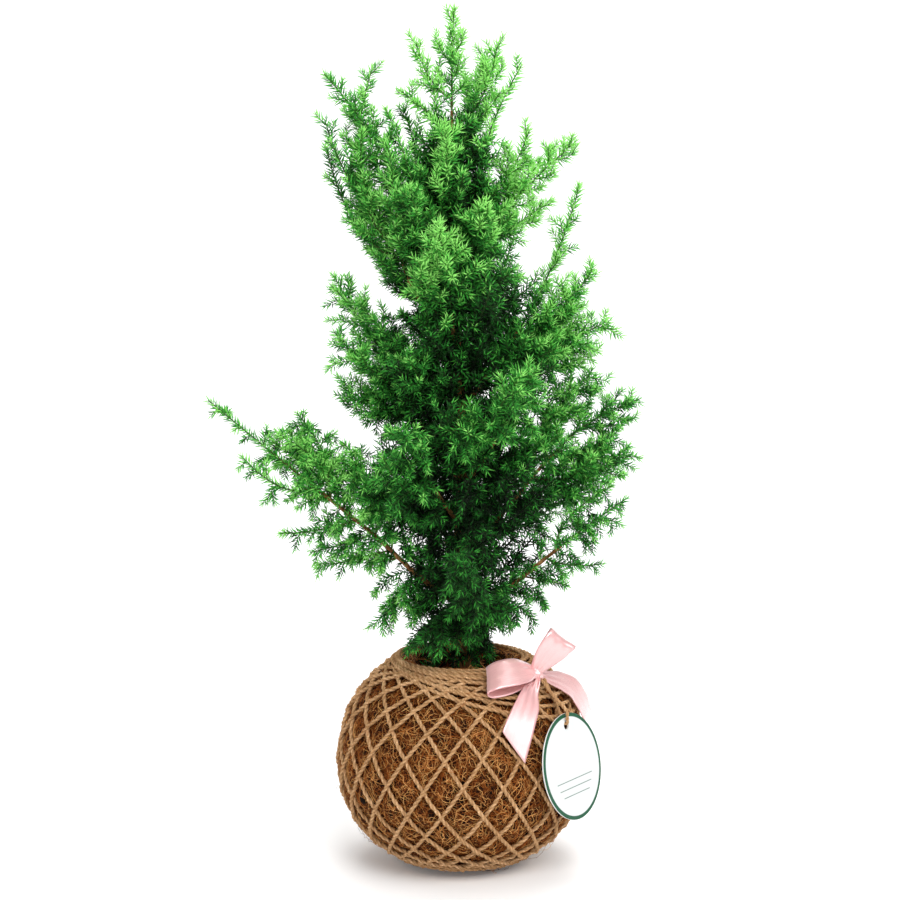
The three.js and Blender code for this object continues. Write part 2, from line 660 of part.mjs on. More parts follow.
// A spray in the making: one closed skin that grows ring by ring, its twigs and needles raised from faces.
class Spray {
  constructor(name) {
    this.name = name;
    this.points = [];
    this.faces = [];
  }

  add(point) {
    this.points.push(point);
    return this.points.length - 1;
  }

  centroid(face) {
    return face.reduce((sum, i) => sum.add(this.points[i]), vec(0, 0, 0)).multiplyScalar(1 / 3);
  }

  normal(face) {
    const [a, b, c] = face.map((i) => this.points[i]);
    return b.clone().sub(a).cross(c.clone().sub(a)).normalize();
  }

  // Raises a needle from a face where there is room for it, and leaves the face plain where there isn't.
  raise(face, ahead, length) {
    const root = this.centroid(face);
    const out = this.normal(face);
    const level = out.clone().addScaledVector(ahead, -out.dot(ahead)).normalize();
    const lean = radians(needle.lean);
    const tip = root.clone()
      .addScaledVector(ahead, length * Math.cos(lean))
      .addScaledVector(level, length * Math.sin(lean));
    if (!isClear(this.name, root, tip, 0.5, needle.clearance)) {
      this.faces.push(face);
      return;
    }
    addRod(this.name, root, tip, 0.5);
    const top = this.add(tip);
    const [a, b, c] = face;
    this.faces.push([a, b, top], [b, c, top], [c, a, top]);
  }

  // Grows a stem from a ring of three points along a line. twigsAt gives the twigs that spring on each step.
  grow(ring, line, rootRadius, tipRadius, twigsAt = () => []) {
    let base = ring;
    for (let i = 1; i < line.length - 1; i += 1) {
      const ahead = line[i + 1].clone().sub(line[i - 1]).normalize();
      const radius = THREE.MathUtils.lerp(rootRadius, tipRadius, i / (line.length - 1));
      const middleBelow = this.centroid(base);
      const next = base.map((a, k) => {
        const b = base[(k + 1) % 3];
        const way = this.points[a].clone().add(this.points[b]).multiplyScalar(0.5).sub(middleBelow);
        way.addScaledVector(ahead, -way.dot(ahead)).normalize();
        return this.add(line[i].clone().addScaledVector(way, radius));
      });
      this.clothe(base, next, ahead, i / (line.length - 1), twigsAt(i));
      base = next;
    }
    const end = this.add(line[line.length - 1]);
    base.forEach((a, k) => this.faces.push([a, base[(k + 1) % 3], end]));
  }

  // The faces between two rings: three carry needles, and the others may carry twigs.
  clothe(base, next, ahead, share, twigs) {
    const length = needle.length * (share > 0.8 ? 0.75 : 1);
    const plain = base.map((a, k) => [a, base[(k + 1) % 3], next[k]]);
    for (const { way, line } of twigs) {
      const facing = (face) => this.normal(face).dot(way);
      const best = plain.reduce((one, other) => (facing(other) > facing(one) ? other : one));
      plain.splice(plain.indexOf(best), 1);
      this.grow(best, line, stem.rootRadius * 0.75, stem.tipRadius);
    }
    this.faces.push(...plain);
    base.forEach((_, k) => this.raise([next[k], base[(k + 1) % 3], next[(k + 1) % 3]], ahead, length));
  }
}

// A twig's line if there is room for it: it turns round the stem, then shortens, until it is clear.
function placeTwig(name, line, plan) {
  const ahead = line[plan.at].clone().sub(line[plan.at - 1]).normalize();
  const root = line[plan.at].clone().add(line[plan.at - 1]).multiplyScalar(0.5);
  const [sideways] = squareTo(ahead);
  const lean = radians(twig.lean);
  for (let turn = 0; turn < 11; turn += 1) {
    const azimuth = plan.azimuth + (turn % 2 ? 1 : -1) * Math.ceil(turn / 2) * 0.42;
    const way = sideways.clone().applyAxisAngle(ahead, azimuth);
    const first = way.clone().multiplyScalar(Math.cos(lean)).addScaledVector(ahead, Math.sin(lean));
    const length = plan.length * (turn > 6 ? 0.7 : 1);
    const bend = root.clone().addScaledVector(first, length * 0.5);
    const end = bend.clone().addScaledVector(first, length * 0.5).addScaledVector(ahead, length * 0.12);
    if (isClear(name, root, end, stem.rootRadius, 1.1)) {
      return { way, root, end, line: walk(new THREE.QuadraticBezierCurve3(root, bend, end), stem.step) };
    }
  }
  return null;
}

function sprayNames() {
  const counts = {};
  return sprayLines.map(([limbName]) => {
    counts[limbName] = (counts[limbName] || 0) + 1;
    return `spray_${limbName === 'trunk' ? 'crown' : limbName}_${counts[limbName]}`;
  });
}

function leafySprays() {
  const names = sprayNames();
  for (const { curve, radiusAt } of Object.values(limbs)) {
    const points = walk(curve, 8);
    const share = (i) => i / (points.length - 1);
    points.slice(1).forEach((point, i) => addRod('trunk', points[i], point, radiusAt(share(i))));
  }
  const stems = sprayLines.map((row) => walk(stemCurve(row), stem.step));
  stems.forEach((line, i) => (
    line.slice(1).forEach((point, k) => addRod(names[i], line[k], point, stem.rootRadius))));
  const twigs = stems.map((line, i) => planTwigs(i, line).map((plan) => {
    const placed = placeTwig(names[i], line, plan);
    if (placed) addRod(names[i], placed.root, placed.end, stem.rootRadius * 0.75);
    return placed && { ...placed, at: plan.at };
  }).filter(Boolean));
  return stems.map((line, i) => {
    const spray = new Spray(names[i]);
    const [sideways, upwards] = squareTo(line[1].clone().sub(line[0]).normalize());
    const ring = ringAround(line[0], sideways, upwards, stem.rootRadius, 3).map((point) => spray.add(point));
    spray.faces.push([ring[0], ring[2], ring[1]]);
    spray.grow(ring, line, stem.rootRadius, stem.tipRadius, (at) => twigs[i].filter((one) => one.at === at));
    return meshOf(names[i], geometryFrom(spray.points, spray.faces), 0x2f8f35, 0.6);
  });
}

// ---------------------------------------------------------------- the whole plant
const kokedama = new THREE.Group();
kokedama.add(
  meshOf('coir_shell', coirShell(), 0x8a5a2f, 0.95),
  meshOf('soil_core', soilCore(), 0x2a1c14, 0.95),
  meshOf('twine_net', twineNet(), 0xc09468, 0.9),
  meshOf('ribbon_bow', ribbonBow(), 0xf2a9b0, 0.35),
  meshOf('tag', tagDisc(), 0xf7f7f4, 0.45),
  meshOf('tag_string', tagStringTube(), 0xb98d5f, 0.9),
  meshOf('trunk', trunkAndLimbs(), 0x5b3a24, 0.85),
  ...leafySprays(),
);

export default kokedama;
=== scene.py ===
import random
from math import asin, atan2, cos, exp, hypot, pi, radians, sin, tan

import bmesh
import bpy
from mathutils import Matrix, Vector, noise


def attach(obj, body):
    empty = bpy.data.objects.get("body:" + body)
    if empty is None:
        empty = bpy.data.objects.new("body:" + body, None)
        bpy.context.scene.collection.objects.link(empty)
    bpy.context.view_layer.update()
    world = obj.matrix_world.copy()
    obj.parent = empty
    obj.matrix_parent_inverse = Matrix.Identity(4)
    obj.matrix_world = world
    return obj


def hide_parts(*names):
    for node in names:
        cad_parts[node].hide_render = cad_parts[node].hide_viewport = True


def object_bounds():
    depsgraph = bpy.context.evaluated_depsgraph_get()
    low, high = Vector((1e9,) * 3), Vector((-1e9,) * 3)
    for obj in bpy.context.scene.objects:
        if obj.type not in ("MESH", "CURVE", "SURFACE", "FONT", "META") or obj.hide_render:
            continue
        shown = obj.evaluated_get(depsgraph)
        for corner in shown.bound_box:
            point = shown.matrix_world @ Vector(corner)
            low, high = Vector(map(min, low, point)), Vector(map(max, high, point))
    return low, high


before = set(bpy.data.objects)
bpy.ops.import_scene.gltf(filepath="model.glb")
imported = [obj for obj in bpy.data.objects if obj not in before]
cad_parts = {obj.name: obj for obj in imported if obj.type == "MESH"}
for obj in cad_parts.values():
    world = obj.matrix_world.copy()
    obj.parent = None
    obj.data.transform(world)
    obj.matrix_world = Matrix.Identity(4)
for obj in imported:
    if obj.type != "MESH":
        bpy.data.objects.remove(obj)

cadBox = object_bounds()
scene = bpy.context.scene
mm = 0.001
fullTurn = 2 * pi

# The camera stands where the photograph was taken from

view = {"place": (-0.0058, -1.10, 0.353), "down": 7.9, "lens": 93.48, "sensor": 36}


def makeCamera():
    lens = bpy.data.cameras.new("camera")
    lens.lens = view["lens"]
    lens.sensor_width = view["sensor"]
    camera = bpy.data.objects.new("camera", lens)
    camera.location = view["place"]
    camera.rotation_euler = (radians(90 - view["down"]), 0, 0)
    scene.collection.objects.link(camera)
    scene.camera = camera


makeCamera()

# Node trees: sums are written as sums, and every other node comes from Graph.node


def operator(operation, flipped=False):
    def combined(self, other):
        pair = (other, self) if flipped else (self, other)
        return self.graph.maths(operation, *pair)
    return combined


class Wire:  # an output that can be used in a sum
    __add__, __radd__ = operator("ADD"), operator("ADD", True)
    __sub__, __rsub__ = operator("SUBTRACT"), operator("SUBTRACT", True)
    __mul__, __rmul__ = operator("MULTIPLY"), operator("MULTIPLY", True)
    __truediv__, __rtruediv__ = operator("DIVIDE"), operator("DIVIDE", True)
    __pow__, __rpow__ = operator("POWER"), operator("POWER", True)

    def __init__(self, graph, socket):
        self.graph = graph
        self.socket = socket

    def __getitem__(self, name):  # another output of the same node
        return Wire(self.graph, self.socket.node.outputs[name])


class Graph:
    def __init__(self, tree):
        self.tree = tree

    def node(self, kind, settings=None, values=None):
        made = self.tree.nodes.new(kind)
        for name, value in (settings or {}).items():
            if name == "stops":
                self.fillRamp(made.color_ramp, value)
            else:
                setattr(made, name, value)
        for name, value in (values or {}).items():
            for one in value if isinstance(value, list) else [value]:
                self.feed(self.inputOf(made, name), one)
        return Wire(self, next((s for s in made.outputs if s.enabled), None))

    def inputOf(self, made, name):
        if isinstance(name, int):
            return made.inputs[name]
        return next(s for s in made.inputs if s.enabled and s.name == name)

    def feed(self, socket, value):
        if isinstance(value, Wire):
            self.tree.links.new(value.socket, socket)
        else:
            socket.default_value = value

    def fillRamp(self, ramp, stops):
        while len(ramp.elements) < len(stops):
            ramp.elements.new(1)
        for element, (place, colour) in zip(ramp.elements, stops):
            element.position = place
            element.color = (*colour, 1)

    def maths(self, operation, *values):
        return self.node("ShaderNodeMath", {"operation": operation}, dict(enumerate(values)))

    def clamp(self, value, low, high):  # 0 at low, 1 at high
        return self.node("ShaderNodeMapRange", {"interpolation_type": "LINEAR"}, {0: value, 1: low, 2: high})

    def vector(self, operation, *values):
        return self.node("ShaderNodeVectorMath", {"operation": operation}, dict(enumerate(values)))

    def scaled(self, vector, factor):
        return self.node("ShaderNodeVectorMath", {"operation": "SCALE"}, {0: vector, "Scale": factor})

    def packed(self, x, y, z):
        return self.node("ShaderNodeCombineXYZ", None, {"X": x, "Y": y, "Z": z})

    def parts(self, vector):
        return self.node("ShaderNodeSeparateXYZ", None, {0: vector})

    def mixed(self, factor, first, second):  # two colours
        return self.node("ShaderNodeMix", {"data_type": "RGBA"}, {0: factor, 6: first, 7: second})["Result"]

    def colours(self, factor, stops):
        return self.node("ShaderNodeValToRGB", {"stops": stops}, {"Fac": factor})

    def noise(self, place, scale, detail=2.0, roughness=0.5):
        return self.node("ShaderNodeTexNoise", None, {
            "Vector": place, "Scale": scale, "Detail": detail, "Roughness": roughness})


# Materials, one function each

uvName = "OFBake"  # the map that patterned pieces carry


class Finish(Graph):  # the tree of a material with one Principled shader
    def __init__(self, name, roughness, specular, more=None):
        self.material = bpy.data.materials.new(name)
        self.material.use_nodes = True
        super().__init__(self.material.node_tree)
        self.tree.nodes.clear()
        shader = self.node("ShaderNodeBsdfPrincipled", None, {
            "Roughness": roughness, "Specular IOR Level": specular, **(more or {})})
        self.shader = shader.socket.node
        self.node("ShaderNodeOutputMaterial", None, {"Surface": shader})

    def give(self, name, value):
        self.feed(self.inputOf(self.shader, name), value)

    def bump(self, height, distance, strength=1.0):
        self.give("Normal", self.node("ShaderNodeBump", None, {
            "Height": height, "Distance": distance, "Strength": strength}))

    def uv(self, name=uvName):
        return self.parts(self.node("ShaderNodeUVMap", {"uv_map": name}))

    def place(self):
        return self.node("ShaderNodeTexCoord")["Object"]


def needleMaterial():
    look = Finish("livingNeedle", 0.5, 0.18)
    uv = look.uv()
    shade = uv["X"]
    lengthwise = uv["Y"]
    # shade, the map's first value, is painted shade and light from the plant's middle to its outline, with
    # the young tips brighter; the ramp runs from near black to light yellow-green
    green = look.colours(shade, [
        (0.0, (0.001, 0.008, 0.001)), (0.2, (0.003, 0.040, 0.004)), (0.45, (0.012, 0.150, 0.014)),
        (0.68, (0.052, 0.370, 0.042)), (0.86, (0.145, 0.590, 0.080)), (1.0, (0.310, 0.800, 0.165))])
    base = look.mixed(0.25 * look.clamp(lengthwise, 0.4, 0.0) * shade, green, (0.13, 0.38, 0.07, 1))
    tip = look.mixed(0.2 * look.clamp(lengthwise, 0.6, 1.0) * shade, base, (0.34, 0.68, 0.17, 1))
    look.give("Base Color", tip)
    return look.material


def twigMaterial():
    look = Finish("youngTwig", 0.7, 0.25)
    uv = look.uv()
    skin = look.colours(uv["X"], [
        (0.0, (0.06, 0.20, 0.03)), (0.4, (0.05, 0.13, 0.025)), (0.75, (0.17, 0.10, 0.035)),
        (1.0, (0.26, 0.12, 0.045))])
    # the map's second value is the twig's painted shade: twigs deep in the plant turn near black
    look.give("Base Color", look.mixed(look.clamp(uv["Y"], 0.0, 0.7), (0.006, 0.012, 0.004, 1), skin))
    return look.material


def barkMaterial():
    look = Finish("youngBark", 0.85, 0.2)
    place = look.place()
    streaks = look.noise(look.vector("MULTIPLY", place, (1.0, 1.0, 0.18)), 1500, 4.0, 0.65)
    flakes = look.noise(place, 380, 3.0, 0.6)
    look.give("Base Color", look.colours(0.6 * streaks + 0.4 * flakes, [
        (0.3, (0.05, 0.018, 0.006)), (0.45, (0.20, 0.085, 0.028)), (0.58, (0.38, 0.19, 0.065)),
        (0.75, (0.55, 0.33, 0.14))]))
    look.bump(streaks, 0.6 * mm)
    return look.material


def juteMaterial():
    look = Finish("juteTwine", 0.85, 0.1)
    uv = look.uv()
    along = uv["X"]
    out = uv["Y"]  # 0 in the groove between the plies, 1 on their crests
    fibres = look.noise(look.packed(along * 160, out * 3, 0), 3.0, 3.0, 0.6)
    patches = look.noise(look.packed(along * 20, 0, 0), 1.0)
    # the grooves between the plies are painted darker: painted shade
    look.give("Base Color", look.colours(0.6 * fibres + 0.35 * patches + 0.16 * out - 0.06, [
        (0.25, (0.07, 0.025, 0.007)), (0.42, (0.27, 0.135, 0.052)), (0.56, (0.48, 0.275, 0.130)),
        (0.72, (0.82, 0.54, 0.31))]))
    return look.material


def coirMaterial(name, stops):  # each fibre has its own share of the ramp, and mottles along its length
    look = Finish(name, 0.6, 0.12)
    uv = look.uv()
    drawn = uv["X"]
    mottle = look.noise(look.packed(uv["Y"] * 3, drawn * 40, 0), 2.0)
    look.give("Base Color", look.colours(drawn * 0.8 + mottle * 0.4 - 0.1, stops))
    return look.material


def lumpyMaterial(name, specular, scale, height, stops):  # the mat under the fibres, and the soil
    look = Finish(name, 0.95, specular)
    lumps = look.noise(look.place(), scale, 4.0, 0.7)
    look.give("Base Color", look.colours(lumps, stops))
    look.bump(lumps, height)
    return look.material


def satinMaterial():
    look = Finish("pinkSatin", 0.5, 0.9, {
        "Metallic": 0.2, "Coat Weight": 0.75, "Coat Roughness": 0.28, "Coat IOR": 2.1,
        "Sheen Weight": 0.4, "Sheen Roughness": 0.4})
    uv = look.uv("weave")
    across = uv["X"]
    along = uv["Y"]
    threads = look.maths("SINE", along * (fullTurn * 2600)) * 0.5 + 0.5
    slubs = look.noise(look.packed(across * 400, along * 60, 0), 1.0)
    edge = look.clamp(look.maths("ABSOLUTE", across), 0.465, 0.49)
    silk = look.colours(slubs, [(0.35, (0.80, 0.41, 0.41)), (0.65, (0.86, 0.48, 0.47))])
    look.give("Base Color", look.mixed(edge * 0.5, silk, (0.80, 0.32, 0.34, 1)))
    look.give("Roughness", slubs * 0.12 + 0.22)
    look.bump(threads + edge * 2, 0.03 * mm, 0.4)
    return look.material


tagLook = {"inner": 23.1, "rimEdge": 0.15, "lines": ((-6.0, 15.5), (-9.5, 14.0), (-13.0, 11.5)),
           "lineWidth": 0.24, "lineEdge": 0.06, "lineEnd": 0.1}


def cardMaterial():  # white with a dark rim and a few blank writing lines, each at its height and half length
    look = Finish("coatedCard", 0.4, 0.25)
    uv = look.uv("face")  # millimetres across and up the face
    across = uv["X"]
    up = uv["Y"]
    reach = (across * across + up * up) ** 0.5
    rim = look.clamp(reach, tagLook["inner"], tagLook["inner"] + tagLook["rimEdge"])
    width = look.maths("ABSOLUTE", across)
    ink = rim * 0.0
    for height, half in tagLook["lines"]:
        inLine = look.clamp(look.maths("ABSOLUTE", up - height), tagLook["lineWidth"],
                            tagLook["lineWidth"] - tagLook["lineEdge"])
        ink = ink + inLine * look.clamp(width, half, half - tagLook["lineEnd"])
    white = look.mixed(ink * 0.8, (0.70, 0.73, 0.725, 1), (0.03, 0.10, 0.06, 1))
    look.give("Base Color", look.mixed(rim, white, (0.004, 0.080, 0.034, 1)))
    return look.material


def bareCardMaterial():
    look = Finish("bareCard", 0.6, 0.3)
    grain = look.noise(look.place(), 900, 3.0)
    look.give("Base Color", look.colours(grain, [(0.3, (0.80, 0.80, 0.77)), (0.7, (0.88, 0.88, 0.86))]))
    return look.material


needleLook = needleMaterial()
twigLook = twigMaterial()
barkLook = barkMaterial()
juteLook = juteMaterial()
# the lowest fibres are a darker copy of the coir: painted shade deep in the layer
shadedCoirLook = coirMaterial("darkCoir", [
    (0.1, (0.012, 0.002, 0.001)), (0.5, (0.095, 0.022, 0.003)), (0.9, (0.34, 0.090, 0.012))])
brightCoirLook = coirMaterial("brightCoir", [
    (0.1, (0.060, 0.011, 0.002)), (0.5, (0.42, 0.120, 0.018)), (0.9, (1.00, 0.55, 0.19))])
# the mat under the fibres is painted near black: painted shade in the gaps between them
gapShadeLook = lumpyMaterial("coirMat", 0.1, 420, 1.2 * mm, [
    (0.35, (0.003, 0.002, 0.001)), (0.55, (0.014, 0.006, 0.003)), (0.75, (0.05, 0.020, 0.008))])
soilLook = lumpyMaterial("pottingSoil", 0.15, 700, 0.8 * mm, [
    (0.35, (0.006, 0.004, 0.003)), (0.55, (0.025, 0.015, 0.009)), (0.8, (0.09, 0.055, 0.03))])
satinLook = satinMaterial()
cardLook = cardMaterial()
bareCardLook = bareCardMaterial()
print("materials made")

# Shapes and trees that several pieces share


def settle(piece, finish, *nodes):  # every piece rides on the one body
    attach(piece, "root")
    if nodes:
        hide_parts(*nodes)


def meshPiece(name, points, faces, looks, smooth=True):
    mesh = bpy.data.meshes.new(name)
    mesh.from_pydata([tuple(p) for p in points], [], faces)
    for look in looks:
        mesh.materials.append(look)
    mesh.polygons.foreach_set("use_smooth", [smooth] * len(mesh.polygons))
    mesh.update()
    piece = bpy.data.objects.new(name, mesh)
    scene.collection.objects.link(piece)
    return piece


def paint(piece, name, values):  # a map with one pair of values for each point
    mesh = piece.data
    layer = mesh.uv_layers.new(name=name)
    layer.data.foreach_set("uv", [v for loop in mesh.loops for v in values[loop.vertex_index]])


def cleaned(piece):  # poles closed, faces outwards
    shape = bmesh.new()
    shape.from_mesh(piece.data)
    bmesh.ops.remove_doubles(shape, verts=shape.verts, dist=1e-6)
    bmesh.ops.recalc_face_normals(shape, faces=shape.faces)
    shape.to_mesh(piece.data)
    shape.free()
    return piece


def ringAngles(sides):
    return [fullTurn * i / sides for i in range(sides)]


def bands(rings, sides, first=0):  # the quads between rings of points that follow each other
    for k in range(rings - 1):
        for i in range(sides):
            a = first + k * sides + i
            b = first + k * sides + (i + 1) % sides
            yield a, b, b + sides, a + sides


def lineMesh(name, lines, facts=None, closed=False):  # edges only; facts: a name to a value for every point
    points = []
    edges = []
    for line in lines:
        first = len(points)
        points += line
        edges += [(first + i, first + i + 1) for i in range(len(line) - 1)]
        if closed:
            edges.append((len(points) - 1, first))
    mesh = bpy.data.meshes.new(name)
    mesh.from_pydata([tuple(p) for p in points], edges, [])
    for fact, values in (facts or {}).items():
        mesh.attributes.new(fact, "FLOAT", "POINT").data.foreach_set("value", values)
    return mesh


def geometryTree(name, sizes):  # one named input for each size
    tree = bpy.data.node_groups.new(name, "GeometryNodeTree")
    tree.interface.new_socket("Geometry", in_out="INPUT", socket_type="NodeSocketGeometry")
    kinds = {float: "Float", int: "Int", Vector: "Vector"}
    for label, value in sizes.items():
        kind = "NodeSocket" + kinds.get(type(value), "Material")
        tree.interface.new_socket(label, in_out="INPUT", socket_type=kind)
    tree.interface.new_socket("Geometry", in_out="OUTPUT", socket_type="NodeSocketGeometry")
    graph = Graph(tree)
    return graph, graph.node("NodeGroupInput")


def finishTree(graph, geometry, material, smooth=True):
    if smooth:
        geometry = graph.node("GeometryNodeSetShadeSmooth", None, {"Geometry": geometry})
    dressed = graph.node("GeometryNodeSetMaterial", None, {
        "Geometry": realized(graph, geometry), "Material": material})
    graph.node("NodeGroupOutput", None, {"Geometry": dressed})
    return graph.tree


def grow(name, mesh, tree, sizes):  # runs a tree on a mesh and keeps the result as a plain mesh
    piece = bpy.data.objects.new(name, mesh)
    scene.collection.objects.link(piece)
    modifier = piece.modifiers.new("grown", "NODES")
    modifier.node_group = tree
    for item in tree.interface.items_tree:
        if item.in_out == "INPUT" and item.name in sizes:
            modifier[item.identifier] = sizes[item.name]
    graph = bpy.context.evaluated_depsgraph_get()
    shape = bpy.data.meshes.new_from_object(piece.evaluated_get(graph), depsgraph=graph)
    piece.modifiers.clear()
    piece.data = shape
    shape.name = name
    print(f"{name}: {sum(len(p.vertices) - 2 for p in shape.polygons)} triangles")
    return piece


def attribute(graph, name, kind="FLOAT"):
    return graph.node("GeometryNodeInputNamedAttribute", {"data_type": kind}, {"Name": name})


def store(graph, geometry, name, value, kind="FLOAT", domain="POINT"):
    return graph.node("GeometryNodeStoreNamedAttribute", {"data_type": kind, "domain": domain},
                      {"Geometry": geometry, "Name": name, "Value": value})


def mapped(graph, geometry, across, along):  # the pattern's map, from two point values
    return store(graph, geometry, uvName, graph.packed(across, along, 0), "FLOAT2", "CORNER")


def moved(graph, geometry, values):
    return graph.node("GeometryNodeSetPosition", None, {"Geometry": geometry, **values})


def evenly(graph, geometry, spacing):  # a mesh of edges as curves with evenly spaced points
    curve = graph.node("GeometryNodeMeshToCurve", None, {"Mesh": geometry})
    return graph.node("GeometryNodeResampleCurve", {"mode": "LENGTH"}, {"Curve": curve, "Length": spacing})


def tubes(graph, curve, sides, radius, values=None):
    profile = graph.node("GeometryNodeCurvePrimitiveCircle", None, {"Resolution": sides, "Radius": radius})
    return graph.node("GeometryNodeCurveToMesh", None, {
        "Curve": curve, "Profile Curve": profile, **(values or {})})


def planted(graph, points, instance, rotation, scale, values=None):
    return graph.node("GeometryNodeInstanceOnPoints", None, {
        "Points": points, "Instance": instance, "Rotation": rotation, "Scale": scale, **(values or {})})


def conesAlong(name, sizes, cap, segments):  # a tree with even points along its lines, and one unit cone
    graph, group = geometryTree(name, sizes)
    curve = evenly(graph, group["Geometry"], group["Spacing"])
    points = graph.node("GeometryNodeCurveToPoints", {"mode": "EVALUATED"}, {"Curve": curve})
    cone = graph.node("GeometryNodeMeshCone", {"fill_type": cap}, {
        "Vertices": 3, "Side Segments": segments, "Radius Top": 0.0, "Radius Bottom": 1.0, "Depth": 1.0})
    return graph, group, points, cone["Mesh"], graph.parts(graph.node("GeometryNodeInputPosition"))


def marked(graph, geometry, name, value):  # a value for each instance
    return store(graph, geometry, name, value, "FLOAT", "INSTANCE")


def realized(graph, geometry):
    return graph.node("GeometryNodeRealizeInstances", None, {"Geometry": geometry})


def randomBetween(graph, low, high, seed):
    return graph.node("FunctionNodeRandomValue", {"data_type": "FLOAT"}, {
        "Min": low, "Max": high, "Seed": seed})


def turned(graph, rotation, x, y, z):  # a rotation in its own axes, in radians
    euler = graph.node("FunctionNodeEulerToRotation", None, {"Euler": graph.packed(x, y, z)})
    return graph.node("FunctionNodeRotateRotation", {"rotation_space": "LOCAL"},
                      {"Rotation": rotation, "Rotate By": euler})


def outwardFrom(graph, place, centre):
    away = graph.vector("SUBTRACT", place, centre)
    return graph.vector("NORMALIZE", away, (0, 0, 0))


def bezier(a, b, c, steps):
    return [(1 - t) ** 2 * a + 2 * t * (1 - t) * b + t * t * c for t in (i / steps for i in range(steps + 1))]


def through(points, count):  # a smooth row of places through some points
    ends = [2 * points[0] - points[1], *points, 2 * points[-1] - points[-2]]
    row = []
    for i in range(count + 1):
        at = i / count * (len(points) - 1)
        k = min(int(at), len(points) - 2)
        t = at - k
        a, b, c, d = ends[k:k + 4]
        row.append(0.5 * (2 * b + (c - a) * t + (2 * a - 5 * b + 4 * c - d) * t * t
                          + (3 * b - a - 3 * c + d) * t ** 3))
    return row


def lengthOf(line):
    return sum((b - a).length for a, b in zip(line, line[1:]))


def resampled(line, step):  # evenly spaced places along a polyline
    lengths = [0.0]
    for a, b in zip(line, line[1:]):
        lengths.append(lengths[-1] + (b - a).length)
    count = max(2, round(lengths[-1] / step))
    row = []
    k = 0
    for i in range(count + 1):
        want = lengths[-1] * i / count
        while k < len(line) - 2 and lengths[k + 1] < want:
            k += 1
        share = (want - lengths[k]) / max(lengths[k + 1] - lengths[k], 1e-12)
        row.append(line[k].lerp(line[k + 1], min(share, 1.0)))
    return row


def frames(line):  # a tangent and two sides for each place, with no sudden turn
    rows = []
    side = None
    for i, place in enumerate(line):
        way = (line[min(i + 1, len(line) - 1)] - line[max(i - 1, 0)]).normalized()
        guess = side if side is not None else (Vector((0, 0, 1)) if abs(way.z) < 0.9 else Vector((1, 0, 0)))
        side = (guess - way * guess.dot(way)).normalized()
        rows.append((place, way, side, way.cross(side)))
    return rows


def tube(line, radii, sides, points, faces, wobble=None):  # a closed tube, added to points and faces
    first = len(points)
    for (place, _, side, other), radius in zip(frames(line), radii):
        for angle in ringAngles(sides):
            ray = side * cos(angle) + other * sin(angle)
            points.append(place + ray * radius * (wobble(place + ray * radius) if wobble else 1))
    faces += bands(len(line), sides, first)
    last = len(points) - sides
    faces.append(tuple(reversed(range(first, first + sides))))
    faces.append(tuple(range(last, last + sides)))


# One outline for the ball serves the coir, the twine and what lies on them

ball = {"radius": 58.2, "centreZ": 50, "upperHeight": 55.5, "lowerHeight": 50.9,
        "upperFullness": 2.1, "lowerFullness": 2.15, "mouthAngle": 31}
middle = Vector((0, 0, ball["centreZ"])) * mm


def ballReach(polar, grown=0.0):  # the distance of the surface from the ball's middle, in millimetres
    upper = cos(polar) > 0
    height = (ball["upperHeight"] if upper else ball["lowerHeight"]) + grown
    fullness = ball["upperFullness"] if upper else ball["lowerFullness"]
    across = (abs(sin(polar)) / (ball["radius"] + grown)) ** fullness
    along = (abs(cos(polar)) / height) ** fullness
    return (across + along) ** (-1 / fullness)


def fromMiddle(polar, azimuth, reach=1):
    return reach * sin(polar) * cos(azimuth), reach * sin(polar) * sin(azimuth), reach * cos(polar)


def onBall(polar, azimuth, grown=0.0):
    x, y, z = fromMiddle(polar, azimuth, ballReach(polar, grown))
    return mm * Vector((x, y, ball["centreZ"] + z))


def overBall(polar, azimuth, grown):  # the same in degrees
    return onBall(radians(polar), radians(azimuth), grown)


def ballSides(place):  # outward and level directions at a place on the ball
    outward = (place - Vector((0, 0, ball["centreZ"] * mm))).normalized()
    return outward, Vector((0, 0, 1)).cross(outward).normalized()


# The tag's string runs from the knot over the card, through its hole and back

tag = {"radius": 25, "thickness": 1, "holeRadius": 2.1, "holeDrop": 5.6, "azimuth": -34, "lean": 11,
       "shift": -6.4, "standOff": 3.75, "bevel": 0.2, "sides": 96}
tagTurn = radians(tag["azimuth"])
tagOut = Vector((cos(tagTurn), sin(tagTurn), tan(radians(tag["lean"])))).normalized()
tagRight = Vector((0, 0, 1)).cross(tagOut).normalized()
tagUp = tagOut.cross(tagRight)
tagMiddle = mm * (Vector((0, 0, ball["centreZ"])) + tagOut * (ball["radius"] + tag["standOff"])
                  + tagUp * tag["shift"])


def onTag(right, up, out):
    return tagMiddle + mm * (tagRight * right + tagUp * up + tagOut * out)


string = {"radius": 0.9, "plyRadius": 0.5, "plyOffset": 0.4, "pitch": 4.2, "step": 0.45, "sides": 6,
          "bendUp": 20.3, "aside": 1.7, "places": 260}
bendUp = string["bendUp"]
aside = string["aside"]
stringRoute = [
    overBall(45.4, -36.6, 6.8), overBall(50, -36.2, 6.5), overBall(54.5, -35.6, 6.9),
    overBall(58.5, -34.8, 7.9), onTag(-0.5, bendUp + 5.6, aside + 0.5),
    onTag(-0.4, bendUp + 2.6, aside + 0.1), onTag(-0.2, bendUp + 0.5, aside * 0.8),
    onTag(0, bendUp, 0), onTag(0.2, bendUp + 0.5, -aside * 0.8), onTag(0.4, bendUp + 2.6, -aside - 0.1),
    onTag(0.5, bendUp + 5.4, -aside - 0.9),
    overBall(54, -32.4, 4.6), overBall(49.5, -32.2, 4.8), overBall(45.3, -32.6, 6.4)]


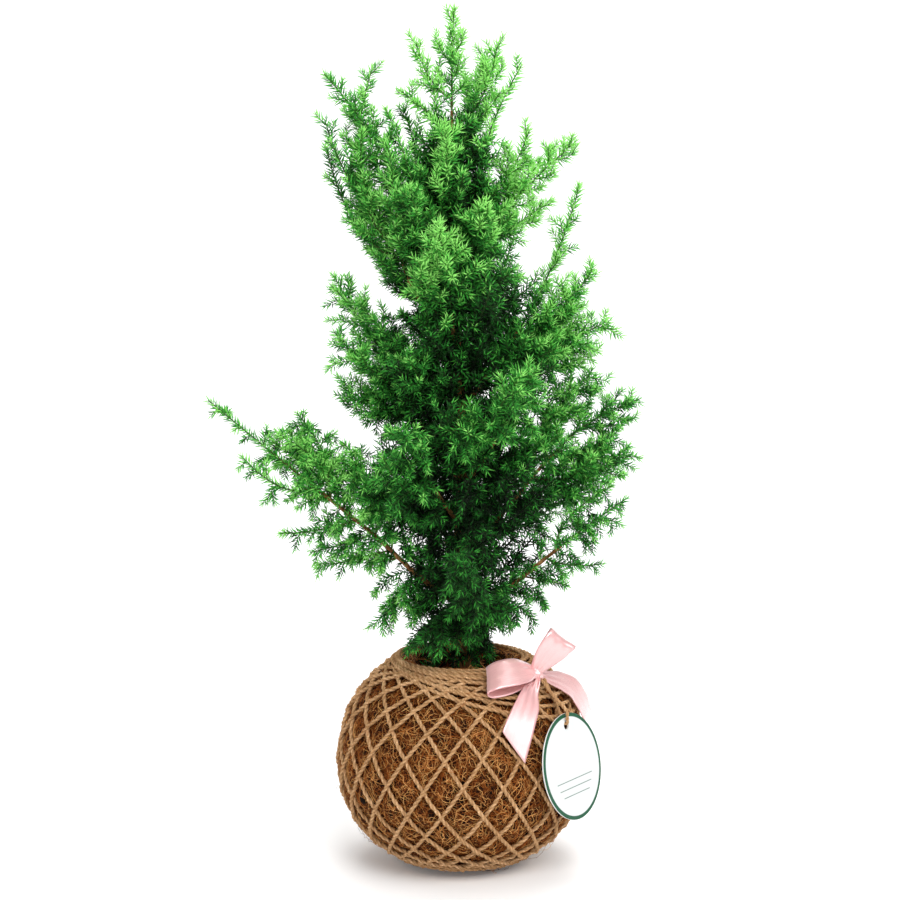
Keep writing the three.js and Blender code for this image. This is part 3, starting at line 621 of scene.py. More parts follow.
def makeString():
    route = resampled(through(stringRoute, string["places"]), string["step"] * mm)
    points = []
    faces = []
    for ply in (0, pi):
        strand = []
        done = 0.0
        for k, (place, _, side, other) in enumerate(frames(route)):
            done += (place - route[k - 1]).length if k else 0
            turn = ply + fullTurn * done / (string["pitch"] * mm)
            strand.append(place + string["plyOffset"] * mm * (side * cos(turn) + other * sin(turn)))
        tube(strand, [string["plyRadius"] * mm] * len(strand), string["sides"], points, faces)
    piece = meshPiece("tag_cord", points, faces, [juteLook])
    paint(piece, uvName, [(v.co.x * 9 % 1, 0.75) for v in piece.data.vertices])
    return piece, route


def makeTag():
    half = tag["thickness"] / 2
    wide = tag["radius"]
    bevel = tag["bevel"]
    holeUp = wide - tag["holeDrop"]
    rings = [(holeUp, tag["holeRadius"], half), (0, wide - bevel, half), (0, wide, half - bevel),
             (0, wide, bevel - half), (0, wide - bevel, -half), (holeUp, tag["holeRadius"], -half)]
    sides = tag["sides"]
    points = [onTag(radius * cos(angle), up + radius * sin(angle), out)
              for up, radius, out in rings for angle in ringAngles(sides)]
    faces = [(a, d % len(points), c % len(points), b) for a, b, c, d in bands(len(rings) + 1, sides)]
    piece = meshPiece("tag_card", points, faces, [bareCardLook, cardLook], smooth=False)
    for polygon in piece.data.polygons[:2 * sides]:  # the printed face with its edge
        polygon.material_index = 1
    for polygon in piece.data.polygons[sides:4 * sides]:
        polygon.use_smooth = True
    paint(piece, "face", [((v.co - tagMiddle).dot(tagRight) / mm, (v.co - tagMiddle).dot(tagUp) / mm)
                          for v in piece.data.vertices])
    return piece


tagCord, stringPath = makeString()
settle(tagCord, "jute", "tag_string")
tagCard = makeTag()
settle(tagCard, "card", "tag")
print(f"string and tag made, {lengthOf(stringPath) / mm:.0f} mm of string")

# The bow: satin strips laid out station by station

ribbon = {"rest": 4.3, "half": 0.17, "cup": 0.9, "pleat": 0.75, "pleats": 3.0, "pleatReach": 9.0, "rows": 44,
          "columns": 14, "width": 15, "slants": {"front": 9.6, "side": 6.0}, "slantReach": 14,
          "pleatPhase": 0.6, "tailWider": 6}
knot = {"polar": 42, "azimuth": -36, "lift": 6.4, "size": (3.0, 3.4, 3.6), "wraps": 5, "fold": 0.07,
        "rows": 20, "sides": 40}
knotPlace = overBall(knot["polar"], knot["azimuth"], knot["lift"])
knotOut, knotRight = ballSides(knotPlace)
knotUp = knotOut.cross(knotRight)


def free(offset, across, width):  # a station away from the ball: place, direction across, width
    return knotPlace + mm * Vector(offset), Vector(across).normalized(), width


def laid(polar, azimuth, lift, width, turn, roll=0.0):  # a station that rests on the ball
    at = overBall(polar, azimuth, ribbon["rest"] + lift)
    outward, level = ballSides(at)
    across = Matrix.Rotation(radians(turn), 3, outward) @ level
    return at, (across + outward * roll).normalized(), width


ribbonStrips = {
    "left": [free((1, 0.5, 0), (-0.2, 0.5, 1), 5), laid(41, -45, 5.5, 10, 82), laid(41.5, -53, 7.4, 13.5, 78),
             laid(42, -62, 8.0, 15, 76), laid(42.5, -70, 7.2, 15, 76), laid(43, -75, 4.5, 15, 77),
             laid(43, -72.5, 1.8, 15, 80), laid(42, -64, 0.6, 15, 86), laid(41.5, -55, 0.6, 13, 90),
             laid(41.5, -46, 1.2, 9, 90), free((1, 0.5, -0.6), (-0.2, 0.5, 1), 5)],
    "right": [free((-1, -0.6, -0.5), (1, 0.4, -0.5), 5), free((3.6, -2, 6.5), (1, 0.4, -0.6), 11.5),
              free((8, -2.6, 12.2), (1, 0.4, -0.75), 15), free((11.4, -1.2, 15.8), (1, 0.4, -0.8), 15),
              free((12.4, 1.6, 16.6), (1, 0.4, -0.8), 15), free((10.8, 3.8, 14.6), (1, 0.4, -0.8), 15),
              free((7, 4, 10.2), (1, 0.4, -0.7), 13), free((2.8, 2, 4.4), (1, 0.4, -0.55), 8),
              free((-1, -0.6, -0.5), (1, 0.4, -0.5), 5)],
    "front": [free((0, -0.8, 0), (1, -0.7, 0), 4.5), laid(47.5, -46, 0.6, 8, -12), laid(54, -53, 0, 12, -16),
              laid(60, -59, 0, 13.5, -19), laid(65.5, -63.2, 0, 14.6, -22), laid(71.6, -66.7, 0, 15, -27)],
    "side": [free((0, 0.6, 0), (0.5, 0.9, 0), 4.5), laid(46, -24, 1.0, 7.5, -8, 0.1),
             laid(50.5, -15, 1.4, 12, -10, 0.16), laid(56.5, -8, 2.2, 14, -12, 0.26),
             laid(64, -3, 2.0, 15, -14, 0.26), laid(71, 0.5, 1.6, 15, -16, 0.24)]}


def makeStrip(stations, points, faces, weave, slant):  # slant: how askew its free end is cut
    rows = ribbon["rows"]
    columns = ribbon["columns"]
    places = through([s[0] for s in stations], rows)
    acrosses = through([s[1] for s in stations], rows)
    widths = [w.x for w in through([Vector((s[2], 0, 0)) for s in stations], rows)]
    tail = 1 if stations[-1][2] > ribbon["tailWider"] else 0  # a free end isn't pleated
    first = len(points)
    done = 0.0
    long = lengthOf(places)
    sheets = ([], [])
    for k in range(rows + 1):
        done += (places[k] - places[k - 1]).length if k else 0
        way = (places[min(k + 1, rows)] - places[max(k - 1, 0)]).normalized()
        across = (acrosses[k] - way * acrosses[k].dot(way)).normalized()
        lift = across.cross(way)
        fromKnot = min((places[k] - places[0]).length, (places[k] - places[-1]).length + tail) / mm
        pleat = ribbon["pleat"] * exp(-fromKnot / ribbon["pleatReach"])
        for c in range(columns + 1):
            share = c / columns - 0.5
            bulge = ribbon["cup"] * (0.25 - share * share) + pleat * cos(
                fullTurn * ribbon["pleats"] * share + ribbon["pleatPhase"])
            skew = slant * share * max(0.0, 1 - (long - done) / (ribbon["slantReach"] * mm))
            spot = places[k] + mm * (across * share * widths[k] + lift * bulge + way * skew)
            for side, sheet in zip((1, -1), sheets):
                sheet.append(spot + lift * side * ribbon["half"] * mm)
            weave.append((share, done))
    points += sheets[0] + sheets[1]
    weave += weave[-len(sheets[0]):]
    stride = columns + 1
    back = first + len(sheets[0])
    for k in range(rows):
        for c in range(columns):
            a = k * stride + c
            faces.append((first + a, first + a + stride, first + a + stride + 1, first + a + 1))
            faces.append((back + a, back + a + 1, back + a + stride + 1, back + a + stride))
    edge = ([k * stride for k in range(rows)] + [rows * stride + c for c in range(columns)]
            + [k * stride + columns for k in range(rows, 0, -1)] + list(range(columns, 0, -1)))
    for a, b in zip(edge, edge[1:] + edge[:1]):
        faces.append((first + a, back + a, back + b, first + b))
    return done


def makeBow():
    points = []
    faces = []
    weave = []
    long = sum(makeStrip(stations, points, faces, weave, ribbon["slants"].get(name, 0))
               for name, stations in ribbonStrips.items())
    piece = meshPiece("bow_ribbon", points, faces, [satinLook])
    paint(piece, "weave", weave)
    return cleaned(piece), long


def makeKnot():
    points = []
    weave = []
    deep, wide, high = knot["size"]
    for k in range(knot["rows"] + 1):
        polar = pi * k / knot["rows"]
        fold = 1 + knot["fold"] * cos(knot["wraps"] * 2 * polar) * sin(polar)
        for azimuth in ringAngles(knot["sides"]):
            out, up, along = fromMiddle(polar, azimuth)
            points.append(knotPlace + mm * (knotOut * (out * deep * fold) + knotRight * (along * wide)
                                            + knotUp * (up * high * fold)))
            weave.append((0.4 * cos(polar), 0.004 * azimuth))
    piece = meshPiece("bow_knot", points, list(bands(knot["rows"] + 1, knot["sides"])), [satinLook])
    paint(piece, "weave", weave)
    return cleaned(piece)


bowRibbon, ribbonLength = makeBow()
bowKnot = makeKnot()
for piece in (bowRibbon, bowKnot):
    settle(piece, "satin", "ribbon_bow")
print(f"bow made, {ribbonLength / mm:.0f} mm of ribbon")

# The twine: loops of two plies that each touch a ring round the mouth and one under the ball

net = {"loops": 20, "places": 400, "ringAngle": 35.0, "ringStray": 1.7, "turnStray": 1.2, "lift": 1.45,
       "over": 0.55, "floor": 1.2}
collar = {"loops": 10, "places": 240, "highest": 31.0, "band": 3.4, "spread": 30, "thinning": 1.5,
          "tilt": 1.2, "lift": 1.3, "heap": 1.5, "wave": 0.3}
twine = {"Ply Radius": 0.68 * mm, "Ply Offset": 0.38 * mm, "Pitch": 7.0 * mm, "Middle": middle, "Sides": 6,
         "Step": 1.2 * mm}
fuzz = {"Spacing": 1.3 * mm, "Length": 2.1 * mm, "Width": 0.055 * mm, "Lean": radians(55), "Seed": 7}
hairStray = {"bend": 0.35, "lean": (0.4, 1.3), "roll": (0.0, 6.0), "size": (0.4, 1.5), "drawn": (0.2, 1.0)}


def overThere(index, swing):  # a later loop lies over an earlier one, wherever they cross
    other = index + swing * net["loops"] / pi
    return 0 <= other < index or other >= net["loops"]


def netLoop(index):
    chance = random.Random(100 + index)
    tangent = fullTurn * index / net["loops"] + radians(chance.uniform(-net["turnStray"], net["turnStray"]))
    ring = radians(net["ringAngle"] + chance.uniform(-1, 1) * net["ringStray"])
    line = []
    for angle in ringAngles(net["places"]):
        swing = atan2(sin(angle), sin(ring) * cos(angle))
        polar = atan2(hypot(sin(ring) * cos(angle), sin(angle)), cos(ring) * cos(angle))
        bump = 0.5 + 0.5 * cos(2 * net["loops"] * swing)
        lift = net["lift"] + net["over"] * bump * (1 if overThere(index, swing) else -1)
        spot = onBall(polar, tangent + swing, lift)
        spot.z = max(spot.z, net["floor"] * mm)
        line.append(spot)
    return line


def collarLoop(index):  # a wrap round the mouth: all lie close at the left and fan out to the right
    chance = random.Random(300 + index)
    share = index / (collar["loops"] - 1)
    phase = chance.uniform(0, fullTurn)
    tilt = collar["tilt"] * chance.uniform(0.3, 1)
    lift = collar["lift"] + collar["heap"] * chance.random()
    line = []
    for azimuth in ringAngles(collar["places"]):
        polar = (collar["highest"] + collar["band"] * share + tilt * cos(azimuth - phase)
                 + collar["spread"] * share ** collar["thinning"] * (0.5 + 0.5 * cos(azimuth)))
        wave = collar["wave"] * sin(3 * azimuth + phase)
        line.append(onBall(radians(polar), azimuth, lift + wave))
    return line


def twineTree(sizes):
    graph, group = geometryTree("twoPlyTwine", sizes)
    curve = evenly(graph, group["Geometry"], group["Step"])
    spline = graph.node("GeometryNodeSplineParameter")
    curve = store(graph, curve, "along", spline["Factor"])
    way = graph.node("GeometryNodeInputTangent")
    place = graph.node("GeometryNodeInputPosition")
    curve = store(graph, curve, "core", place, "FLOAT_VECTOR")
    outward = outwardFrom(graph, place, group["Middle"])
    sideways = graph.vector("CROSS_PRODUCT", way, outward)
    turn = spline["Length"] * fullTurn / group["Pitch"]
    plies = []
    for start in (0, pi):
        ray = graph.vector("ADD", graph.scaled(outward, graph.maths("COSINE", turn + start)),
                           graph.scaled(sideways, graph.maths("SINE", turn + start)))
        plies.append(moved(graph, curve, {"Offset": graph.scaled(ray, group["Ply Offset"])}))
    both = graph.node("GeometryNodeJoinGeometry", None, {"Geometry": plies})
    cord = tubes(graph, both, group["Sides"], group["Ply Radius"])
    out = graph.vector("DISTANCE", place, attribute(graph, "core", "FLOAT_VECTOR"))
    # crest: how far out of the groove a point lies, which paints the grooves' shade
    crest = graph.clamp(out, group["Ply Offset"], group["Ply Offset"] + group["Ply Radius"])
    return finishTree(graph, mapped(graph, cord, attribute(graph, "along"), crest), juteLook)


def hairTree(sizes):  # loose hairs stand out of the twine
    graph, group, points, hair, local = conesAlong("twineHairs", sizes, "NONE", 2)
    bend = local["Z"] * local["Z"] * hairStray["bend"]
    thin = graph.packed(local["X"] * group["Width"] + bend * group["Length"], local["Y"] * group["Width"],
                        local["Z"] * group["Length"])
    hair = moved(graph, hair, {"Position": thin})
    seed = group["Seed"]
    spin = randomBetween(graph, 0.0, fullTurn, seed)
    lean = group["Lean"] * randomBetween(graph, *hairStray["lean"], seed + 1)
    rotation = turned(graph, turned(graph, points["Rotation"], 0, 0, spin), lean, 0, 0)
    rotation = turned(graph, rotation, 0, 0, randomBetween(graph, *hairStray["roll"], seed + 2))
    hairs = planted(graph, points, hair, rotation, randomBetween(graph, *hairStray["size"], seed + 3))
    hairs = marked(graph, hairs, "drawn", randomBetween(graph, *hairStray["drawn"], seed + 4))
    hairs = mapped(graph, realized(graph, hairs), attribute(graph, "drawn"), 0.9)
    return finishTree(graph, hairs, juteLook, smooth=False)


netLoops = [netLoop(index) for index in range(net["loops"])]
collarLoops = [collarLoop(index) for index in range(collar["loops"])]
twoPly = twineTree(twine)
for name, loops, tree, sizes in (("twine_strands", netLoops, twoPly, twine),
                                 ("twine_collar", collarLoops, twoPly, twine),
                                 ("twine_fuzz", netLoops + collarLoops, hairTree(fuzz), fuzz)):
    settle(grow(name, lineMesh(f"{name}Lines", loops, closed=True), tree, sizes), "jute", "twine_net")

# The coir body swells between the strands and turns in at the mouth

body = {"rows": 92, "sides": 200, "swell": 0.9, "pressed": 1.7, "reach": 7.0, "mouthRough": 0.03,
        "lumps": ((0.5, 9), (0.35, 22)), "mouth": ((0.0, 86.0), (21.0, 86.0), (21.8, 89.0), (22.2, 94.0),
                                                   (23.2, 97.6), (25.3, 99.3), (27.6, 99.0))}


def loopNormal(line):
    a = (line[0] - middle).normalized()
    b = (line[len(line) // 4] - middle).normalized()
    return a.cross(b).normalized()


strandNormals = [loopNormal(line) for line in netLoops]


def pillow(ray, reach):  # how far the coir stands out between the strands, in millimetres
    away = min(abs(asin(max(-1, min(1, normal.dot(ray))))) for normal in strandNormals) * reach
    share = min(away / body["reach"], 1.0)
    return -body["pressed"] + (body["pressed"] + body["swell"]) * sin(share * pi / 2)


def ringPiece(name, rings, sides, look):  # rings of points, closed at both ends
    points = [place for ring in rings for place in ring]
    faces = [(a, d, c, b) for a, b, c, d in bands(len(rings), sides)]
    return cleaned(meshPiece(name, points, faces, [look]))


def makeCoirBody():
    rings = []
    angles = ringAngles(body["sides"])
    for r, z in body["mouth"]:
        ring = []
        for angle in angles:
            bump = noise.noise(Vector((cos(angle) * 4, sin(angle) * 4, z * 0.2)))
            rough = r * (1 + body["mouthRough"] * bump)
            ring.append(mm * Vector((rough * cos(angle), rough * sin(angle), z)))
        rings.append(ring)
    start = radians(ball["mouthAngle"])
    for k in range(body["rows"] + 1):
        polar = start + (pi - start) * k / body["rows"]
        ring = []
        for azimuth in angles:
            ray = Vector(fromMiddle(polar, azimuth))
            lump = sum(size * noise.noise(ray * scale) for size, scale in body["lumps"])
            spot = onBall(polar, azimuth, pillow(ray, ballReach(polar)) + lump)
            spot.z = max(spot.z, 0.0)
            ring.append(spot)
        rings.append(ring)
    return ringPiece("coir_body", rings, body["sides"], gapShadeLook)


coirBody = makeCoirBody()
settle(coirBody, "coir", "coir_shell")
print("coir body made")

# Coir fibres lie curled over the body

coirLayers = {  # per square metre, then millimetres; the curl's scale is per metre
    # the lowest layer uses the darker copy of the coir: painted shade
    "coir_under": {"density": 98000, "length": 20, "radius": 0.22, "low": 0.05, "high": 0.7, "curl": 9.0,
                   "scale": 190, "steps": 8, "seed": 3, "look": shadedCoirLook},
    "coir_middle": {"density": 76000, "length": 22, "radius": 0.15, "low": 0.2, "high": 1.2, "curl": 13.0,
                    "scale": 170, "steps": 10, "seed": 11, "look": brightCoirLook},
    "coir_over": {"density": 64000, "length": 24, "radius": 0.125, "low": 0.6, "high": 1.8, "curl": 15.0,
                  "scale": 170, "steps": 12, "seed": 17, "look": brightCoirLook},
    "coir_stray": {"density": 16000, "length": 24, "radius": 0.085, "low": 0.8, "high": 5.5, "curl": 13.0,
                   "scale": 150, "steps": 12, "seed": 23, "look": brightCoirLook}}


fibreStray = {"long": (0.5, 1.2), "thick": (0.7, 1.3), "lift": (0.55, 0.45), "waves": 5, "phase": 40,
              "floor": 1.5, "taper": 0.6, "taperPower": 3}


def fibreSizes(layer):
    lengths = {label.title(): layer[label] * mm for label in ("length", "radius", "low", "high", "curl")}
    return {**lengths, "Density": float(layer["density"]), "Scale": float(layer["scale"]),
            "Steps": layer["steps"], "Seed": layer["seed"], "Middle": middle, "Look": layer["look"]}


def fibreTree(sizes):
    graph, group = geometryTree("curledFibres", sizes)
    seed = group["Seed"]
    points = graph.node("GeometryNodeDistributePointsOnFaces", None, {
        "Mesh": group["Geometry"], "Density": group["Density"], "Seed": seed})
    line = graph.node("GeometryNodeCurvePrimitiveLine", None, {"Start": (-0.5, 0, 0), "End": (0.5, 0, 0)})
    line = graph.node("GeometryNodeResampleCurve", {"mode": "COUNT"}, {
        "Curve": line, "Count": group["Steps"]})
    spin = turned(graph, points["Rotation"], 0, 0, randomBetween(graph, 0.0, fullTurn, seed + 1))
    long = group["Length"] * randomBetween(graph, *fibreStray["long"], seed + 2)
    fibres = planted(graph, points, line, spin, long)
    fibres = marked(graph, fibres, "drawn", randomBetween(graph, 0.0, 1.0, seed + 3))
    height = randomBetween(graph, 0.0, 1.0, seed + 4)
    stands = group["Low"] + (group["High"] - group["Low"]) * height * height
    curves = realized(graph, marked(graph, fibres, "stands", stands))
    drawn = attribute(graph, "drawn")
    place = graph.node("GeometryNodeInputPosition")
    own = graph.vector("ADD", graph.scaled(place, group["Scale"]),
                       graph.packed(drawn * 9, drawn * 31, drawn * 17))
    swirl = graph.noise(own, 1.0, 1.0)["Color"]
    push = graph.scaled(graph.vector("SUBTRACT", swirl, (0.5, 0.5, 0.5)), group["Curl"])
    curves = moved(graph, curves, {"Offset": push})
    nearest = graph.node("GeometryNodeProximity", {"target_element": "FACES"}, {
        "Geometry": group["Geometry"]})["Position"]
    spline = graph.node("GeometryNodeSplineParameter")["Factor"]
    wave = graph.maths("SINE", spline * fibreStray["waves"] + drawn * fibreStray["phase"])
    stands = attribute(graph, "stands") * (fibreStray["lift"][0] + fibreStray["lift"][1] * wave)
    outward = outwardFrom(graph, place, group["Middle"])
    lifted = graph.parts(graph.vector("ADD", nearest, graph.scaled(outward, stands)))
    floor = graph.maths("MAXIMUM", lifted["Z"], group["Radius"] * fibreStray["floor"])
    curves = moved(graph, curves, {"Position": graph.packed(lifted["X"], lifted["Y"], floor)})
    fromMid = graph.maths("ABSOLUTE", spline * 2 - 1)
    taper = 1.0 - fibreStray["taper"] * fromMid ** fibreStray["taperPower"]
    thick = group["Radius"] * taper * randomBetween(graph, *fibreStray["thick"], seed + 5)
    curves = store(graph, curves, "along", spline)
    curves = graph.node("GeometryNodeSetCurveRadius", None, {"Curve": curves, "Radius": thick})
    fibres = mapped(graph, tubes(graph, curves, 3, 1.0, {"Scale": thick}), drawn, attribute(graph, "along"))
    return finishTree(graph, fibres, group["Look"])


curledFibres = fibreTree(fibreSizes(coirLayers["coir_under"]))
for name, layer in coirLayers.items():
    settle(grow(name, coirBody.data.copy(), curledFibres, fibreSizes(layer)), "coir", "coir_shell")

# The soil fills the ball and shows as dark lumps in the mouth

soil = {"inset": 8.2, "surface": 89.8, "crown": 1.4, "radius": 21.4, "lump": 0.9,
        "lumps": ((1, 0.5), (0.6, 1.3)), "rings": 26, "wallRings": 24, "wallFrom": 36, "sides": 72}


def soilProfile():  # radius and height, from the middle of the surface to the bottom
    profile = []
    for k in range(soil["rings"] + 1):
        r = soil["radius"] * k / soil["rings"]
        profile.append((r, soil["surface"] + soil["crown"] * (1 - (r / soil["radius"]) ** 2)))
    for k in range(1, soil["wallRings"] + 1):
        polar = radians(soil["wallFrom"] + (180 - soil["wallFrom"]) * k / soil["wallRings"])
        reach = ballReach(polar) - soil["inset"]
        profile.append((reach * sin(polar), ball["centreZ"] + reach * cos(polar)))
    return profile


def makeSoil():
    rings = []
    for r, z in soilProfile():
        ring = [Vector((r * cos(angle), r * sin(angle), z)) for angle in ringAngles(soil["sides"])]
        for spot in ring:
            if z > soil["surface"] - 0.2:
                lump = sum(size * noise.noise(spot * scale) for size, scale in soil["lumps"])
                spot.z += soil["lump"] * lump
        rings.append([mm * spot for spot in ring])
    return ringPiece("soil_fill", rings, soil["sides"], soilLook)


settle(makeSoil(), "soil", "soil_core")
print("soil made")

# Trunk and limbs, from the same lines as the solids

trunkLine = [  # places, and the radius there
    (0, 0, 74.3, 3.8), (0, 0, 93, 4.1), (0.6, 0, 104, 3.7), (0, 1, 128, 3.2), (-1, 0, 162, 2.9),
    (0, -1, 200, 2.6), (-2, 0, 240, 2.2), (-3.5, 1, 279, 1.9), (-4.4, 0, 314, 1.5), (-5, 0, 342, 1.1),
    (-5, 0, 360, 0.6)]
limbLines = {  # the height on the trunk, then places
    "left_low": (124, (-20, -6, 140), (-43, -9, 162), (-75, -13, 189)),
    "left_mid": (206, (-14, 2, 220), (-27, 3, 234)),
    "left_high": (256, (-17, -3, 268), (-27, -4, 287), (-28, -3, 306)),
    "right_low": (116, (18, -5, 131), (34, -8, 145), (47, -10, 156)),
    "right_mid": (142, (14, 4, 162), (34, 6, 187), (48, 7, 202)),
    "right_high": (220, (13, 3, 237), (26, 5, 256)),
    "right_top": (290, (8, -3, 301), (16, -4, 310)),
    "front_low": (120, (3, -15, 130), (2, -27, 139)),
    "front_left": (164, (-8, -14, 176), (-14, -24, 187)),
    "front_right": (184, (9, -14, 196), (15, -24, 208)),
    "front_high": (242, (-4, -11, 254), (-5, -19, 266)),
    "back_low": (130, (-5, 17, 142), (-8, 29, 152)),
    "back_right": (154, (11, 15, 168), (19, 25, 180)),
    "back_left": (184, (-11, 13, 197), (-19, 23, 210)),
    "back_mid": (226, (5, 13, 239), (9, 22, 251)),
    "back_high": (266, (-4, 10, 278), (-7, 17, 289))}
bark = {"limbThick": 1.4, "limbThin": 0.75, "sides": 12, "step": 1.2, "rough": 0.13, "places": (300, 120),
        "knobs": ((1, 420), (0.8, 900))}


def barkPath(places, count):
    return resampled(through(places, count), bark["step"] * mm)


def trunkRadius(height):
    for (_, _, low, a), (_, _, high, b) in zip(trunkLine, trunkLine[1:]):
        if height <= high:
            return a + (b - a) * max(0, (height - low) / (high - low))
    return trunkLine[-1][3]


def trunkAt(height):
    return min(trunkPath, key=lambda p: abs(p.z - height * mm))


trunkPath = barkPath([mm * Vector(p[:3]) for p in trunkLine], bark["places"][0])
limbPaths = {name: barkPath([trunkAt(height)] + [mm * Vector(p) for p in places], bark["places"][1])
             for name, (height, *places) in limbLines.items()}


def knobbly(place):
    return 1 + bark["rough"] * sum(size * noise.noise(place * scale) for size, scale in bark["knobs"])


def makeBark():
    points = []
    faces = []
    tube(trunkPath, [trunkRadius(p.z / mm) * mm for p in trunkPath], bark["sides"], points, faces, knobbly)
    for path in limbPaths.values():
        count = len(path) - 1
        radii = [mm * (bark["limbThick"] + (bark["limbThin"] - bark["limbThick"]) * k / count)
                 for k in range(count + 1)]
        tube(path, radii, bark["sides"], points, faces, knobbly)
    return meshPiece("bark", points, faces, [barkLook])


settle(makeBark(), "bark", "trunk")
print("trunk and limbs made")

# Sprays: a stem from its limb to its tip, with side twigs and their own side twigs

sprayLines = {  # for each spray: how far along its limb, its tip, and how full it is
    "crown": ((1, (-4, 0, 409), 1), (0.9, (-22, -5, 394), 1), (0.86, (16, -4, 393), 1.1),
              (0.86, (-31, -9, 371), 0.9), (0.71, (32, -9, 354), 0.9), (0.77, (3, 27, 378), 0.9),
              (0.7, (-8, -30, 354), 1), (0.68, (-22, 22, 346), 0.8), (0.62, (12, -34, 318), 1.1),
              (0.84, (19, -6, 371), 0.5), (0.79, (-15, -8, 352), 0.8), (0.66, (24, 6, 336), 0.8)),
    "left_high": ((1, (-66, -6, 379), 0.8), (0.84, (-41, 5, 383), 0.8), (0.73, (-64, 4, 346), 0.6),
                  (0.45, (-50, 9, 312), 0.7), (0.56, (-26, -30, 326), 1.1), (0.8, (-46, -8, 354), 0.9),
                  (0.6, (-39, 6, 331), 1.0), (0.7, (-37, -10, 364), 0.6)),
    "left_mid": ((1, (-62, 5, 285), 1.1), (0.8, (-62, -10, 260), 1.1), (0.55, (-60, 2, 232), 1.1),
                 (0.35, (-31, -29, 250), 1.2)),
    "left_low": ((1, (-121, -16, 228), 0.6), (0.93, (-105, -22, 203), 0.6), (0.84, (-80, -6, 221), 1.2),
                 (0.68, (-88, -12, 162), 0.9), (0.56, (-58, -14, 208), 1.3), (0.46, (-73, -4, 143), 0.65),
                 (0.26, (-38, -14, 116), 1), (0.95, (-92, -10, 207), 1.0)),
    "right_low": ((1, (80, -8, 180), 1.0), (0.84, (69, -16, 149), 0.45), (0.62, (53, -2, 135), 0.4),
                  (0.38, (37, -16, 117), 0.55)),
    "right_mid": ((1, (87, 6, 225), 1.2), (0.86, (67, 12, 237), 1.2), (0.72, (83, 0, 200), 1.3),
                  (0.46, (62, 26, 176), 1.1), (0.9, (74, -4, 210), 1.1)),
    "right_high": ((1, (56, 6, 328), 0.5), (0.8, (70, -2, 263), 1.3), (0.5, (46, -18, 252), 1.2),
                   (0.92, (56, -6, 281), 1.2), (0.7, (52, 14, 258), 1.1), (0.75, (62, 2, 247), 1.1)),
    "right_top": ((1, (55, -6, 348), 0.9), (0.7, (29, 4, 383), 0.25), (0.45, (44, 8, 320), 0.8)),
    "front_low": ((1, (-2, -72, 160), 1.1), (0.8, (26, -48, 132), 1.1), (0.6, (-22, -46, 116), 1.1)),
    "front_left": ((1, (-30, -62, 220), 1.1), (0.65, (-47, -33, 190), 1.2)),
    "front_right": ((1, (30, -60, 246), 1.1), (0.65, (48, -34, 214), 0.8), (0.82, (2, -58, 218), 1.2)),
    "front_high": ((1, (-12, -46, 312), 1.2),), "back_low": ((1, (-16, 74, 178), 1.2),),
    "back_right": ((1, (42, 60, 207), 0.3),), "back_left": ((1, (-44, 54, 256), 1.1),),
    "back_mid": ((1, (26, 50, 300), 1),), "back_high": ((1, (-14, 42, 338), 1),)}
foliage = {  # for each limb: its brightness, partly its own tone and partly painted shade (low for the limbs in front and inside), how its twigs rise or hang, and the length of its needles
    "crown": (1.0, 0.3, 5.2), "left_high": (0.58, 0.25, 5.0), "left_mid": (0.64, 0.1, 4.8),
    "left_low": (0.68, -0.3, 4.6), "right_low": (0.52, -0.35, 4.4), "right_mid": (0.55, 0.05, 4.8),
    "right_high": (0.78, 0.2, 5.0), "right_top": (0.96, 0.25, 5.2), "front_low": (0.22, -0.5, 4.6),
    "front_left": (0.46, -0.1, 5.0), "front_right": (0.52, -0.05, 5.2), "front_high": (0.96, 0.1, 5.2),
    "back_low": (0.3, 0, 4.6), "back_right": (0.4, 0, 4.8), "back_left": (0.4, 0, 4.8),
    "back_mid": (0.5, 0.1, 5.0), "back_high": (0.55, 0.1, 5.2), "inner_low": (0.14, -0.4, 4.6),
    "inner_middle": (0.26, 0.0, 5.0), "inner_high": (0.74, 0.1, 5.0), "skirt": (0.42, -0.35, 4.4)}
growth = {"stemThick": 0.6, "stemThin": 0.35, "stemBare": 2, "stemReach": 0.42, "leastReach": 5,
          "twigBare": 0.8, "twigEvery": 3.7, "twigLong": 21, "twigShort": 7, "twigLean": 50,
          "twigThick": 0.34, "subEvery": 4.3, "subLong": 10, "subShort": 5, "subLean": 52, "subThick": 0.26,
          "subFrom": 9, "shortest": 4, "innerEvery": 3.4, "innerLong": 24, "innerLean": 58, "topSteps": 45,
          "topShare": 0.6, "golden": 2.39996, "stray": 0.12, "turnStray": 0.3, "leanStray": 9,
          "sizes": (0.6, 1.2), "gaps": (0.8, 1.2), "spare": 2.5, "twigStep": 2, "push": 3, "nearTip": 0.97,
          "shrink": 0.8, "thinner": 0.6, "first": 0.12, "subFirst": 0.2, "leastFull": 0.4, "innerShort": 0.7}
# painted shade and light on needles and twigs: least, most and power make them darker towards the trunk,
# skyward makes twigs that point up brighter; uneven is a random tone for each twig, tip the length that
# counts as a twig's tip
shading = {"least": 0.08, "most": 0.97, "power": 1.6, "tip": 4.5, "uneven": 0.28, "skyward": 0.2}
sister = {"off": (8, 14), "back": (0.05, 0.12), "long": 0.86, "full": 0.8, "fullest": 0.6}
